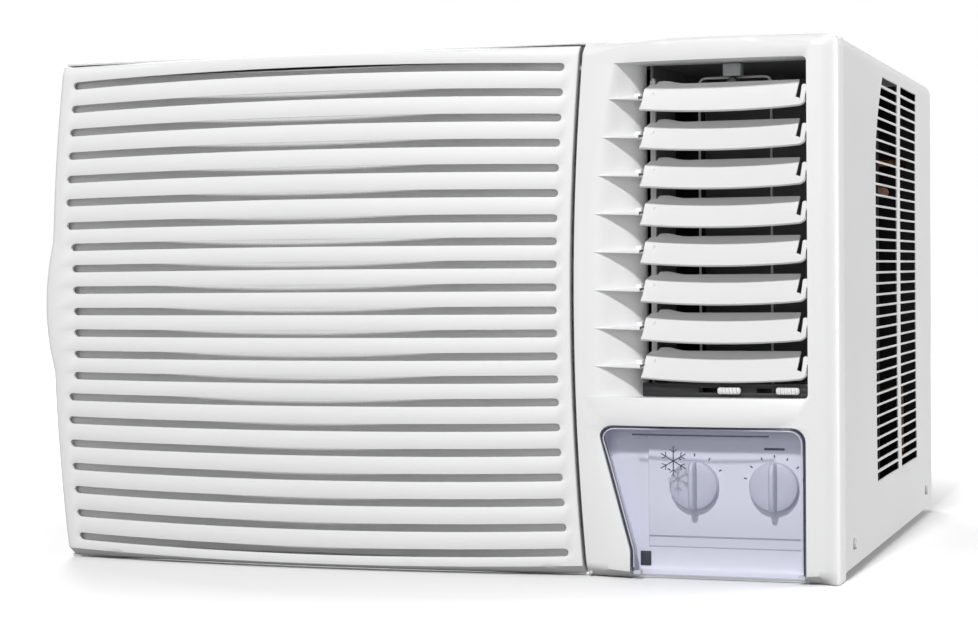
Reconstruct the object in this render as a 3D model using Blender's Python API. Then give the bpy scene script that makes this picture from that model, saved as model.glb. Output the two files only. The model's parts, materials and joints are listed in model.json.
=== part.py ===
"""Window air conditioner: a moulded front over a sheet-metal cabinet with its cooling set inside."""

import math

import bmesh
import bpy
from mathutils import Vector

# ---------------------------------------------------------------- sizes, in metres
# Built with x from the cabinet's middle, y from the front's corner plane and z from the floor.
WIDTH = 0.660  # cabinet and front frame
CASE_H = 0.415  # cabinet height
LIP = 0.006  # the front reaches this far below the cabinet
DEPTH = 0.545  # front corner plane to the cabinet's rear edge
FRONT_D = 0.030  # depth of the moulded front's sides

WALL = 0.0025  # moulded wall
SHEET = 0.0012  # sheet metal
GAP = 0.0005  # between pieces that lie against each other
PLAY = 0.0004  # round a turning pin

BULGE_L = 0.016  # how far the intake grille stands forward in its middle
BULGE_R = 0.010  # the same for the outlet side
EDGE_BOW = 0.0137  # the grille's left edge bows out by this
GAP_BOW = 0.0098  # and the split line by this
GRIP_OUT = 0.0063  # the finger grip stands out by this much more
SPLIT_X = 0.1310  # split line at its top and bottom ends
SPLIT_GAP = 0.0012

SLOT_COUNT = 21
SLOT_H = 0.0063
SLOT_TOP_Z = 0.4005
SLOT_LOW_Z = 0.0193
SLOT_MID_PITCH = 0.0181
SLOT_ARC = 0.0043

OUT_RIGHT = 0.3074  # outlet opening, right edge
OUT_LOW = 0.142
OUT_TOP = 0.402
OUT_DEEP_X = 0.1745  # inner end of the scooped side wall
DOOR_RIGHT = 0.3056
DOOR_TOP = 0.1200
DOOR_LEFT_TOP = 0.1420
DOOR_LEFT_LOW = 0.1674

DOOR_AXIS_Y = 0.0
DOOR_AXIS_Z = 0.0055

LOUVRE_COUNT = 8
LOUVRE_PITCH = 0.0298
LOUVRE_FIRST_Z = 0.3768  # pivot of the top louvre
LOUVRE_Y = 0.0100  # pivot line
LOUVRE_X0 = 0.1775
LOUVRE_X1 = 0.3045
LOUVRE_CHORD = 0.0270
LOUVRE_TILT = math.radians(42)
LOUVRE_T = 0.0022
PIN_R = 0.0016
ARM = 0.0165  # louvre pivot to tie-bar pin
TIE_X = 0.1810
TIE_T = 0.0024
TIE_RISE = 0.0150  # the tie bar above the top louvre's pivot
RIB_DROP = 0.0022  # a scoop rib below its louvre's pivot

KNOB_R = 0.0200
KNOB_Z = 0.0730
KNOB_X = (0.2150, 0.2780)
SHAFT_R = 0.0030
LEVER_X = (0.2450, 0.2905)
LEVER_TRAVEL = 0.0200
LEVER_Z = 0.1475

VENT_ROWS = 37
VENT_PITCH = 0.00934
VENT_LOW = 0.0608
VENT_H = 0.0072
VENT_COLS = ((0.195, 0.319), (0.339, 0.441))

SCREW_HEAD = 0.0022

FAN_X = -0.060
FAN_Z = 0.222
FAN_SHAFT_R = 0.0060
BLOWER_R = 0.105
CONDENSER_FAN_R = 0.150

Z0 = LIP
ZT = LIP + CASE_H
HALF = WIDTH / 2
MID_Z = ZT / 2

# ---------------------------------------------------------------- clear the scene
for old in list(bpy.data.objects):
    bpy.data.objects.remove(old, do_unlink=True)

SCENE = bpy.context.scene.collection
PARTS = bpy.data.collections.new("window_air_conditioner")
SCENE.children.link(PARTS)
CUTTERS = bpy.data.collections.new("cutters")
SCENE.children.link(CUTTERS)
CUTTERS.hide_render = True


def make_material(name, colour, metallic=0.0, roughness=0.5, alpha=1.0):
    """A Principled material of its own for one group of sub-parts."""
    made = bpy.data.materials.new(name)
    made.use_nodes = True
    shader = made.node_tree.nodes["Principled BSDF"]
    shader.inputs["Base Color"].default_value = (*colour, 1.0)
    shader.inputs["Metallic"].default_value = metallic
    shader.inputs["Roughness"].default_value = roughness
    shader.inputs["Alpha"].default_value = alpha
    made.diffuse_color = (*colour, alpha)
    return made


WHITE = make_material("white_plastic", (0.84, 0.84, 0.85), roughness=0.4)
GREY_PLASTIC = make_material("grey_plastic", (0.55, 0.56, 0.57), roughness=0.45)
BLACK = make_material("black_plastic", (0.03, 0.03, 0.033), roughness=0.55)
SMOKE = make_material("smoked_clear", (0.62, 0.65, 0.76), roughness=0.1, alpha=0.6)
MESH_GREY = make_material("filter_net", (0.29, 0.29, 0.29), roughness=0.8)
PAINTED = make_material("painted_steel", (0.67, 0.67, 0.67), roughness=0.45)
ZINC = make_material("zinc_steel", (0.52, 0.53, 0.54), metallic=0.9, roughness=0.4)
FINS = make_material("aluminium_fin", (0.72, 0.73, 0.74), metallic=0.9, roughness=0.35)
COPPER = make_material("copper", (0.72, 0.38, 0.22), metallic=1.0, roughness=0.3)
DARK_STEEL = make_material("black_enamel", (0.04, 0.04, 0.045), roughness=0.35)
RUBBER = make_material("rubber", (0.05, 0.05, 0.05), roughness=0.8)
FOAM = make_material("white_foam", (0.8, 0.8, 0.78), roughness=0.9)


def own(name, mesh, material, origin=(0, 0, 0)):
    """A finished node; its origin goes to the joint axis for a piece that moves."""
    base = Vector(origin)
    for corner in mesh.vertices:
        corner.co -= base
    made = bpy.data.objects.new(name, mesh)
    made.location = base
    made.data.materials.append(material)
    PARTS.objects.link(made)
    return made


def slab(front, back, hole=()):
    """A closed sheet between two equal grids of points, with the cells in hole left open."""
    rows = len(front)
    cols = len(front[0])
    shape = bmesh.new()
    near = [[shape.verts.new(p) for p in line] for line in front]
    far = [[shape.verts.new(p) for p in line] for line in back]
    open_cells = set(hole)

    def filled(r, c):
        return 0 <= r < rows - 1 and 0 <= c < cols - 1 and (r, c) not in open_cells

    for r in range(rows - 1):
        for c in range(cols - 1):
            if not filled(r, c):
                continue
            shape.faces.new((near[r][c], near[r][c + 1], near[r + 1][c + 1], near[r + 1][c]))
            shape.faces.new((far[r + 1][c], far[r + 1][c + 1], far[r][c + 1], far[r][c]))
            if not filled(r - 1, c):
                shape.faces.new((near[r][c + 1], near[r][c], far[r][c], far[r][c + 1]))
            if not filled(r + 1, c):
                shape.faces.new((near[r + 1][c], near[r + 1][c + 1], far[r + 1][c + 1], far[r + 1][c]))
            if not filled(r, c - 1):
                shape.faces.new((near[r][c], near[r + 1][c], far[r + 1][c], far[r][c]))
            if not filled(r, c + 1):
                shape.faces.new((near[r + 1][c + 1], near[r][c + 1], far[r][c + 1], far[r + 1][c + 1]))
    for corner in [v for v in shape.verts if not v.link_faces]:
        shape.verts.remove(corner)
    return finished(shape)


def finished(shape):
    bmesh.ops.recalc_face_normals(shape, faces=shape.faces)
    made = bpy.data.meshes.new("mesh")
    shape.to_mesh(made)
    shape.free()
    return made


def boxes(*spans):
    """One mesh of separate boxes, each given as x0, x1, y0, y1, z0, z1."""
    shape = bmesh.new()
    for x0, x1, y0, y1, z0, z1 in spans:
        made = bmesh.ops.create_cube(shape, size=1.0)["verts"]
        for corner in made:
            corner.co.x = x1 if corner.co.x > 0 else x0
            corner.co.y = y1 if corner.co.y > 0 else y0
            corner.co.z = z1 if corner.co.z > 0 else z0
    return finished(shape)


def rod(start, end, radius, sides=12, radius_2=None):
    """A round bar or a cone between two points."""
    a = Vector(start)
    b = Vector(end)
    shape = bmesh.new()
    bmesh.ops.create_cone(
        shape,
        cap_ends=True,
        segments=sides,
        radius1=radius,
        radius2=radius if radius_2 is None else radius_2,
        depth=(b - a).length,
    )
    turn = (b - a).to_track_quat("Z", "Y").to_matrix().to_4x4()
    turn.translation = (a + b) / 2
    bmesh.ops.transform(shape, matrix=turn, verts=shape.verts)
    return finished(shape)


def prism(outline, axis, low, high):
    """An outline of two coordinates pushed along the axis 'X', 'Y' or 'Z'."""
    order = {"X": (2, 0, 1), "Y": (0, 2, 1), "Z": (0, 1, 2)}[axis]
    shape = bmesh.new()
    ends = []
    for level in (low, high):
        row = []
        for a, b in outline:
            given = (a, b, level)
            row.append(shape.verts.new([given[order[k]] for k in range(3)]))
        ends.append(row)
    shape.faces.new(ends[0])
    shape.faces.new(list(reversed(ends[1])))
    count = len(outline)
    for k in range(count):
        after = (k + 1) % count
        shape.faces.new((ends[0][k], ends[0][after], ends[1][after], ends[1][k]))
    return finished(shape)


def tube(points, radius, sides=8):
    """A round tube's solid along a list of points, mitred at each bend."""
    path = [Vector(p) for p in points]
    shape = bmesh.new()
    rings = []
    side = None
    for k, at in enumerate(path):
        before = (at - path[k - 1]).normalized() if k else (path[1] - at).normalized()
        after = (path[k + 1] - at).normalized() if k + 1 < len(path) else before
        along = (before + after).normalized()
        if side is None:
            side = along.orthogonal().normalized()
        side = (side - before * side.dot(before)).normalized()
        up = before.cross(side)
        ring = []
        for s in range(sides):
            turn = 2 * math.pi * s / sides
            flat = side * (radius * math.cos(turn)) + up * (radius * math.sin(turn))
            flat -= before * (flat.dot(along) / before.dot(along))
            ring.append(shape.verts.new(at + flat))
        rings.append(ring)
    for first, second in zip(rings, rings[1:]):
        for s in range(sides):
            t = (s + 1) % sides
            shape.faces.new((first[s], first[t], second[t], second[s]))
    shape.faces.new(rings[0])
    shape.faces.new(list(reversed(rings[-1])))
    return finished(shape)


def rounded(points, radius, steps=3):
    """The same path with each inner corner replaced by a short arc."""
    path = [Vector(p) for p in points]
    made = [path[0]]
    for before, at, after in zip(path, path[1:], path[2:]):
        to_before = (before - at).normalized()
        to_after = (after - at).normalized()
        half = to_before.angle(to_after) / 2
        reach = min(radius / math.tan(half), (before - at).length * 0.49, (after - at).length * 0.49)
        start = at + to_before * reach
        end = at + to_after * reach
        for k in range(steps + 1):
            t = k / steps
            made.append(start * (1 - t) ** 2 + at * (2 * t * (1 - t)) + end * t**2)
    made.append(path[-1])
    return made


def build(name, base, material, add=(), cut=(), origin=(0, 0, 0), smooth=False):
    """A node from a base mesh, with other meshes joined to it and then cut from it."""
    made = own(name, base, material, origin)
    for kind, meshes in (("UNION", add), ("DIFFERENCE", cut)):
        if not meshes:
            continue
        group = bpy.data.collections.new(f"{name}_{kind.lower()}")
        CUTTERS.children.link(group)
        for k, mesh in enumerate(meshes):
            helper = bpy.data.objects.new(f"{name}_{kind.lower()}_{k}", mesh)
            helper.hide_render = True
            helper.display_type = "WIRE"
            group.objects.link(helper)
        step = made.modifiers.new(kind.lower(), "BOOLEAN")
        step.operation = kind
        step.solver = "EXACT"
        step.operand_type = "COLLECTION"
        step.collection = group
    if smooth:
        for face in made.data.polygons:
            face.use_smooth = True
    return made


# ---------------------------------------------------------------- the front's shared curves
def swell(z):
    """0 at the top and bottom of the front and 1 half way up."""
    return 1 - ((z - MID_Z) / MID_Z) ** 2


def split_x(z):
    return SPLIT_X - GAP_BOW * swell(z)


def left_x(z):
    grip = max(0.0, 1 - ((z - 0.2140) / 0.0560) ** 2)
    return -HALF + 0.0010 - EDGE_BOW * swell(z) - GRIP_OUT * grip


def arch(t):
    """1 in the middle of a span and 0 at its ends."""
    return 1 - (2 * t - 1) ** 2


def grille_y(t):
    return -0.0010 - (BULGE_L - 0.0010) * arch(t)


def outlet_y(x):
    t = (x - SPLIT_X) / (HALF - SPLIT_X)
    return -0.0010 - (BULGE_R - 0.0010) * max(0.0, arch(t))


def slot_z(k):
    """Centre of slot k at its ends: the middle nine sit closer together."""
    middle = (SLOT_COUNT - 1) // 2
    outer = (SLOT_TOP_Z - SLOT_LOW_Z - 8 * SLOT_MID_PITCH) / (SLOT_COUNT - 9)
    from_mid = middle - k
    inner = max(-4, min(4, from_mid))
    return (SLOT_TOP_Z + SLOT_LOW_Z) / 2 + inner * SLOT_MID_PITCH + (from_mid - inner) * outer


# ---------------------------------------------------------------- intake grille
HINGE_X = SPLIT_X - 0.0028
HINGE_Y = -0.0010


# The face's top and bottom edges, as arcs in from the rim
def make_grille():
    """The slotted plate, with a sloped band along its top and bottom."""
    cols = 10
    left_cols = 3
    spans = []
    spans.append(("rim", 0.0012, -1))
    spans.append(("face", 0.0, -1))
    for k in reversed(range(SLOT_COUNT)):
        spans.append(("low", slot_z(k) - SLOT_H / 2, k))
        spans.append(("high", slot_z(k) + SLOT_H / 2, k))
    spans.append(("face", ZT, -2))
    spans.append(("rim", ZT - 0.0040, -2))
    front = []
    back = []
    hole = []
    for r, (kind, level, k) in enumerate(spans):
        z_edge = level
        if kind == "face":
            z_edge = 0.0085 if k == -1 else ZT - 0.0095
        grip = max(0.0, 1 - (abs(k - 10) / 4.2) ** 2) * 0.0157 if k >= 0 else 0.0
        left = left_x(z_edge)
        right = split_x(z_edge) - SPLIT_GAP
        inner_left = left + 0.0133 + grip
        inner_right = right - 0.0103
        xs = [left, left + 0.0022, left + 0.0030, inner_left]
        count = cols - left_cols
        for c in range(1, count):
            xs.append(inner_left + (inner_right - inner_left) * c / count)
        xs += [inner_right, right]
        near = []
        far = []
        for c, x in enumerate(xs):
            t = (x - left) / (right - left)
            y = grille_y(t)
            z = z_edge
            if kind in ("low", "high"):
                z += SLOT_ARC * (z_edge - MID_Z) / (SLOT_TOP_Z - MID_Z) * arch(t)
            elif kind == "face":
                z += 0.0060 * arch(t) if k == -2 else -0.0040 * arch(t)
            elif k == -2:
                y = -0.0012 - 0.3 * (-0.0010 - y)
            else:
                y = y * 0.85
            near.append((x, y, z))
            deep = 0.0090 if c < 2 and kind in ("low", "high") else y + WALL
            far.append((x, deep, z))
        front.append(near)
        back.append(far)
        if kind == "low":
            hole += [(r, c) for c in range(3, len(xs) - 2)]
    return slab(front, back, hole)


grille = own("intake_grille", make_grille(), WHITE, (HINGE_X, HINGE_Y, MID_Z))

# ---------------------------------------------------------------- filter, clipped behind the grille
FILTER_X0 = -0.3200
FILTER_X1 = 0.1080
FILTER_Z0 = 0.0100
FILTER_Z1 = 0.4080
FILTER_Y = 0.0052


def frame_bars(x0, x1, y0, y1, z0, z1, bar, x_bars, z_bars):
    """An open rectangular frame with evenly spaced inner bars, as one sheet with windows."""
    xs = [x0, x0 + bar]
    step = (x1 - x0 - bar) / (x_bars + 1)
    for k in range(1, x_bars + 1):
        xs += [x0 + k * step, x0 + k * step + bar]
    xs += [x1 - bar, x1]
    zs = [z0, z0 + bar]
    step = (z1 - z0 - bar) / (z_bars + 1)
    for k in range(1, z_bars + 1):
        zs += [z0 + k * step, z0 + k * step + bar]
    zs += [z1 - bar, z1]
    near = [[(x, y0, z) for x in xs] for z in zs]
    far = [[(x, y1, z) for x in xs] for z in zs]
    hole = [(r, c) for r in range(1, len(zs) - 1, 2) for c in range(1, len(xs) - 1, 2)]
    return slab(near, far, hole)


own(
    "air_filter_frame",
    frame_bars(FILTER_X0, FILTER_X1, FILTER_Y, FILTER_Y + 0.004, FILTER_Z0, FILTER_Z1, 0.006, 3, 2),
    GREY_PLASTIC,
    (HINGE_X, HINGE_Y, MID_Z),
)


def make_net():
    """The net reaches past every slot's ends, so its own sides follow the grille's curved sides."""
    near = []
    far = []
    for k in range(13):
        z = FILTER_Z0 + 0.001 + (FILTER_Z1 - FILTER_Z0 - 0.002) * k / 12
        x0 = left_x(z) + 0.0060
        x1 = split_x(z) - 0.0095
        near.append([(x0, FILTER_Y - 0.0011, z), (x1, FILTER_Y - 0.0011, z)])
        far.append([(x0, FILTER_Y - 0.0003, z), (x1, FILTER_Y - 0.0003, z)])
    return slab(near, far)


own("air_filter_net", make_net(), MESH_GREY, (HINGE_X, HINGE_Y, MID_Z))


# ---------------------------------------------------------------- front frame
def scoop_left(z):
    """Where the scooped wall starts on the face."""
    high = max(0.0, (z - 0.250) / 0.150)
    return 0.1316 + 0.0240 * high**1.9


def door_left(z):
    t = min(1.0, max(0.0, (z - 0.0230) / (DOOR_TOP - 0.0300)))
    return DOOR_LEFT_LOW + (DOOR_LEFT_TOP - DOOR_LEFT_LOW) * t


def make_face():
    """The outlet side's face plate, with the outlet and the door opening left open."""
    levels = [
        0.0004,
        0.0085,
        0.0230,
        DOOR_TOP - 0.0070,
        DOOR_TOP,
        0.1310,
        OUT_LOW,
        0.2000,
        0.2500,
        0.2900,
        0.3300,
        0.3700,
    ]
    levels += [OUT_TOP, ZT - 0.0100, ZT - 0.0004]
    front = []
    back = []
    hole = []
    for r, level in enumerate(levels):
        start = split_x(level)
        if level <= DOOR_TOP:
            c1 = door_left(level)
            c2 = DOOR_RIGHT
        elif level >= OUT_LOW:
            c1 = scoop_left(min(level, OUT_TOP))
            c2 = OUT_RIGHT
        else:
            c1 = (door_left(level) + scoop_left(level)) / 2
            c2 = (DOOR_RIGHT + OUT_RIGHT) / 2
        xs = [start, start + 0.004, c1]
        xs += [c1 + (c2 - c1) * k / 5 for k in range(1, 5)]
        xs += [c2, 0.3160, 0.3250, HALF]
        near = []
        far = []
        for x in xs:
            y = outlet_y(x) if x > SPLIT_X else -0.0010
            if x == HALF:
                y = 0.0060
            elif x == 0.3250:
                y = -0.0004
            z = level
            t = min(1.0, max(0.0, (x - SPLIT_X) / (HALF - SPLIT_X)))
            if r == 1 and x in (xs[0], xs[1], xs[2], xs[-1], xs[-2], xs[-3]):
                z -= 0.0040 * arch(t)
            if r == len(levels) - 2:
                z += 0.0060 * arch(t)
            if r == len(levels) - 1:
                y = max(y, -0.0012 - 0.3 * (-0.0010 - y))
            if r == 0:
                y = max(y, y * 0.85)
            near.append((x, y, z))
            far.append((x if x < HALF else HALF - 0.0024, (y if x < HALF else y + 0.0006) + WALL, z))
        front.append(near)
        back.append(far)
    low_rows = levels.index(DOOR_TOP)
    out_row = levels.index(OUT_LOW)
    top_row = levels.index(OUT_TOP)
    for r in range(low_rows):
        hole += [(r, c) for c in range(2, 7)]
    for r in range(out_row, top_row):
        hole += [(r, c) for c in range(2, 7)]
    return slab(front, back, hole)


def scoop_point(z, t):
    """A point on the concave side wall: t runs from the face to the wall's deep end."""
    x0 = scoop_left(z) + 0.0004
    x = x0 + (OUT_DEEP_X - x0) * math.sin(t * math.pi / 2) ** 0.9
    y = -0.0012 + 0.0222 * (1 - math.cos(t * math.pi / 2)) ** 0.8
    return x, y


def make_scoop():
    levels = [OUT_LOW - 0.0030, 0.2000, 0.2500, 0.2900, 0.3300, 0.3700, OUT_TOP + 0.0030]
    steps = [0, 0.2, 0.4, 0.6, 0.8, 1.0]
    front = []
    back = []
    for z in levels:
        near = []
        far = []
        for t in steps:
            x, y = scoop_point(min(max(z, OUT_LOW), OUT_TOP), t)
            near.append((x, y, z))
            far.append((x - 0.0024 * t, y + 0.0030 - 0.0006 * t, z))
        x, y = scoop_point(min(max(z, OUT_LOW), OUT_TOP), 1.0)
        near.append((x, FRONT_D, z))
        far.append((x - 0.0024, FRONT_D, z))
        front.append(near)
        back.append(far)
    return slab(front, back)


def make_rib(z):
    """A thin fin across the scooped wall, level with a louvre."""
    outline = []
    for t in (0.04, 0.2, 0.4, 0.6, 0.8, 1.0):
        x, y = scoop_point(z, t)
        outline.append((x - 0.0006, y + 0.0012))
    x0, y0 = outline[0]
    outline.append((OUT_DEEP_X - 0.0002, outlet_y(OUT_DEEP_X) + 0.0060))
    outline.append((OUT_DEEP_X - 0.0002, outlet_y(OUT_DEEP_X) + 0.0012))
    outline.append((x0 + 0.0004, outlet_y(x0) + 0.0010))
    return prism(outline, "Z", z - 0.0008, z + 0.0008)


LOUVRE_Z = [LOUVRE_FIRST_Z - k * LOUVRE_PITCH for k in range(LOUVRE_COUNT)]
SPIGOT = 0.0120


def make_frame():
    inner = HALF - WALL
    spig = HALF - SHEET - GAP
    add = [
        # the rim that the grille closes against
        boxes((-HALF, SPLIT_X, 0.0, FRONT_D, ZT - WALL, ZT)),
        boxes((-HALF, HALF, 0.0022, FRONT_D, 0.0, WALL)),
        boxes((SPLIT_X, HALF, 0.0004, FRONT_D, 0.0, WALL)),
        boxes((-HALF, -HALF + WALL, 0.0105, FRONT_D, 0.0, ZT)),
        boxes((HALF - WALL, HALF, 0.0050, FRONT_D, 0.0, ZT)),
        boxes((SPLIT_X - 0.001, HALF, 0.0010, FRONT_D, ZT - WALL, ZT)),
        # the inner flange that fits inside the cabinet
        boxes(
            (-spig, spig, FRONT_D - 0.0030, FRONT_D + SPIGOT, ZT - SHEET - GAP - 0.0020, ZT - SHEET - GAP),
        ),
        boxes((-spig, -spig + 0.0020, FRONT_D - 0.0030, FRONT_D + SPIGOT, Z0 + 0.0030, ZT - SHEET - GAP)),
        boxes((spig - 0.0020, spig, FRONT_D - 0.0030, FRONT_D + SPIGOT, Z0 + 0.0030, ZT - SHEET - GAP)),
        boxes((-inner, inner, 0.0260, 0.0290, 0.0010, 0.0110)),
        # the wall beside the intake
        boxes((0.1120, 0.1145, 0.0200, FRONT_D, 0.0010, ZT - 0.0010)),
        boxes((0.1120, 0.1340, 0.0200, 0.0225, 0.0010, ZT - 0.0010)),
        boxes((0.1320, 0.1345, 0.0005, 0.0225, 0.0010, OUT_LOW)),
        boxes((0.1320, 0.1345, 0.0005, 0.0225, OUT_TOP - 0.010, ZT - 0.0010)),
        boxes((0.1320, 0.1345, 0.0125, 0.0225, OUT_LOW - 0.001, OUT_TOP)),
        # the outlet's surround
        boxes((OUT_RIGHT, OUT_RIGHT + WALL, -0.0020, FRONT_D, OUT_LOW - WALL, OUT_TOP + WALL)),
        boxes((0.1600, OUT_RIGHT + WALL, -0.0040, FRONT_D, OUT_TOP, OUT_TOP + WALL)),
        boxes((0.1330, OUT_RIGHT + WALL, -0.0010, FRONT_D, OUT_LOW - WALL, OUT_LOW)),
        # the control recess
        boxes((DOOR_RIGHT, DOOR_RIGHT + WALL, -0.0020, FRONT_D, 0.0010, OUT_LOW - 0.001)),
        boxes((0.1330, DOOR_RIGHT + WALL, -0.0010, FRONT_D, DOOR_TOP, DOOR_TOP + WALL)),
        make_scoop(),
    ]
    add += [make_rib(z - RIB_DROP) for z in LOUVRE_Z]
    for z in LOUVRE_Z:
        add.append(
            boxes(
                (
                    OUT_DEEP_X - 0.0060,
                    OUT_DEEP_X - 0.0003,
                    LOUVRE_Y - 0.0040,
                    0.0215,
                    z - 0.0050,
                    z + 0.0036,
                ),
            ),
        )
    # the low side wall that carries the door's left pin
    add.append(boxes((DOOR_LEFT_LOW - 0.0034, DOOR_LEFT_LOW - 0.0010, -0.0045, 0.0150, 0.0010, 0.0220)))
    cut = [
        boxes((DOOR_LEFT_LOW - 0.0008, DOOR_RIGHT, -0.0200, 0.0080, -0.0100, WALL + 0.0005)),
        rod(
            (DOOR_LEFT_LOW - 0.0100, DOOR_AXIS_Y, DOOR_AXIS_Z),
            (DOOR_LEFT_LOW + 0.0020, DOOR_AXIS_Y, DOOR_AXIS_Z),
            0.0012 + PLAY,
            8,
        ),
        rod(
            (DOOR_RIGHT - 0.0020, DOOR_AXIS_Y, DOOR_AXIS_Z),
            (DOOR_RIGHT + 0.0100, DOOR_AXIS_Y, DOOR_AXIS_Z),
            0.0012 + PLAY,
            8,
        ),
    ]
    for z in LOUVRE_Z:
        cut.append(
            rod((OUT_DEEP_X - 0.0060, LOUVRE_Y, z), (OUT_DEEP_X + 0.0020, LOUVRE_Y, z), PIN_R + PLAY, 8),
        )
        cut.append(
            rod((OUT_RIGHT - 0.0010, LOUVRE_Y, z), (OUT_RIGHT + 0.0060, LOUVRE_Y, z), PIN_R + PLAY, 8),
        )
    return build("front_frame", make_face(), WHITE, add, cut)


make_frame()


# ---------------------------------------------------------------- louvres and their tie bar
def make_louvre(k):
    z0 = LOUVRE_Z[k]
    x_steps = [LOUVRE_X0 + (LOUVRE_X1 - LOUVRE_X0) * s / 6 for s in range(7)]
    up = Vector((0, math.sin(LOUVRE_TILT), math.cos(LOUVRE_TILT)))
    thick = Vector((0, -math.cos(LOUVRE_TILT), math.sin(LOUVRE_TILT)))
    front = []
    back = []
    for s in (-0.56, -0.2, 0.2, 0.44):
        near = []
        far = []
        for x in x_steps:
            t = (x - LOUVRE_X0) / (LOUVRE_X1 - LOUVRE_X0)
            reach = s * LOUVRE_CHORD
            if s == -0.56:
                reach -= 0.0035 * arch(t)
            at = Vector((x, LOUVRE_Y, z0)) + up * reach
            near.append(at + thick * (LOUVRE_T / 2))
            far.append(at - thick * (LOUVRE_T / 2))
        front.append(near)
        back.append(far)
    pin = PIN_R
    pin_y = LOUVRE_Y + ARM
    add = [
        rod((OUT_DEEP_X - 0.0045, LOUVRE_Y, z0), (LOUVRE_X0 + 0.003, LOUVRE_Y, z0), pin, 8),
        rod((LOUVRE_X1 - 0.003, LOUVRE_Y, z0), (OUT_RIGHT + 0.0020, LOUVRE_Y, z0), pin, 8),
        prism(
            [
                (LOUVRE_Y - 0.001, z0 - 0.0016),
                (pin_y + 0.0018, z0 - 0.0018),
                (pin_y + 0.0018, z0 + 0.0018),
                (LOUVRE_Y, z0 + 0.0030),
            ],
            "X",
            TIE_X + 0.0020,
            TIE_X + 0.0040,
        ),
        rod((TIE_X - 0.0022, pin_y, z0), (TIE_X + 0.003, pin_y, z0), 0.0012, 8),
    ]
    return build(f"louvre_{k + 1}", slab(front, back), WHITE, add, (), (0, LOUVRE_Y, z0))


for k in range(LOUVRE_COUNT):
    make_louvre(k)

TIE_Y = LOUVRE_Y + ARM
tie_cuts = []
for z in LOUVRE_Z:
    tie_cuts.append(
        boxes((TIE_X - 0.01, TIE_X + 0.01, TIE_Y - 0.0026, TIE_Y + 0.0017, z - 0.0017, z + 0.0017)),
    )
build(
    "louvre_tie_bar",
    boxes(
        (
            TIE_X - TIE_T / 2,
            TIE_X + TIE_T / 2,
            TIE_Y - 0.0040,
            TIE_Y + 0.0040,
            LOUVRE_Z[-1] - 0.006,
            LOUVRE_Z[0] + TIE_RISE,
        ),
    ),
    PAINTED,
    (),
    tie_cuts,
    (TIE_X, TIE_Y, MID_Z),
)

# ---------------------------------------------------------------- outlet duct and its fittings
DUCT_X0 = 0.1770
DUCT_X1 = 0.3120
DUCT_Y0 = FRONT_D + 0.0015
DUCT_Y1 = 0.2260
DUCT_Z0 = 0.1400
DUCT_Z1 = 0.4060
duct_inner = (
    DUCT_X0 + 0.002, DUCT_X1 - 0.002, DUCT_Y0 - 0.01, DUCT_Y1 - 0.002, DUCT_Z0 + 0.002, DUCT_Z1 - 0.002,
)
build(
    "discharge_duct",
    boxes((DUCT_X0, DUCT_X1, DUCT_Y0, DUCT_Y1, DUCT_Z0, DUCT_Z1)),
    BLACK,
    (),
    [boxes(duct_inner), boxes((DUCT_X0 - 0.01, DUCT_X0 + 0.01, 0.105, 0.222, 0.150, 0.384))],
)
GUARD_Y = 0.0385
GUARD_TOP = OUT_TOP - 0.0105
own(
    "duct_bracket",
    boxes((0.2370, 0.2510, 0.0235, GUARD_Y - 0.0025, OUT_TOP - 0.0105, OUT_TOP - 0.0007)),
    GREY_PLASTIC,
)
own(
    "bracket_screw",
    rod((0.2440, 0.0240, OUT_TOP - 0.0148), (0.2440, 0.0368, OUT_TOP - 0.0148), 0.0040, 12),
    ZINC,
)
guard = rounded(
    [
        (0.2148, GUARD_Y, OUT_LOW + 0.0020),
        (0.2148, GUARD_Y, GUARD_TOP),
        (0.2720, GUARD_Y, GUARD_TOP),
        (0.2720, GUARD_Y, OUT_LOW + 0.0020),
    ],
    0.0060,
)
own("wire_guard", tube(guard, 0.0010, 6), PAINTED)

plate_y = 0.0060
build(
    "lever_plate",
    boxes(
        (
            OUT_DEEP_X + 0.0010,
            OUT_RIGHT - 0.0006,
            plate_y,
            plate_y + 0.0016,
            OUT_LOW + 0.0004,
            OUT_LOW + 0.0110,
        ),
    ),
    BLACK,
    (),
    [
        boxes(
            (
                x - LEVER_TRAVEL - 0.0045,
                x + 0.0045,
                plate_y - 0.01,
                plate_y + 0.01,
                LEVER_Z - 0.0016,
                LEVER_Z + 0.0016,
            ),
        )
        for x in LEVER_X
    ],
)


def make_lever(name, x):
    y = plate_y
    ribs = [
        boxes(
            (
                x - 0.0060 + k * 0.0040,
                x - 0.0045 + k * 0.0040,
                y - 0.0062,
                y - 0.0040,
                LEVER_Z - 0.0026,
                LEVER_Z + 0.0026,
            ),
        )
        for k in range(4)
    ]
    stem = boxes((x - 0.0040, x + 0.0040, y - 0.0020, y + 0.0100, LEVER_Z - 0.0011, LEVER_Z + 0.0011))
    return build(
        name,
        boxes((x - 0.0092, x + 0.0092, y - 0.0048, y - 0.0006, LEVER_Z - 0.0027, LEVER_Z + 0.0027)),
        WHITE,
        [stem] + ribs,
        (),
        (x, y, LEVER_Z),
    )


make_lever("fresh_air_lever", LEVER_X[0])
make_lever("exhaust_lever", LEVER_X[1])

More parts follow.
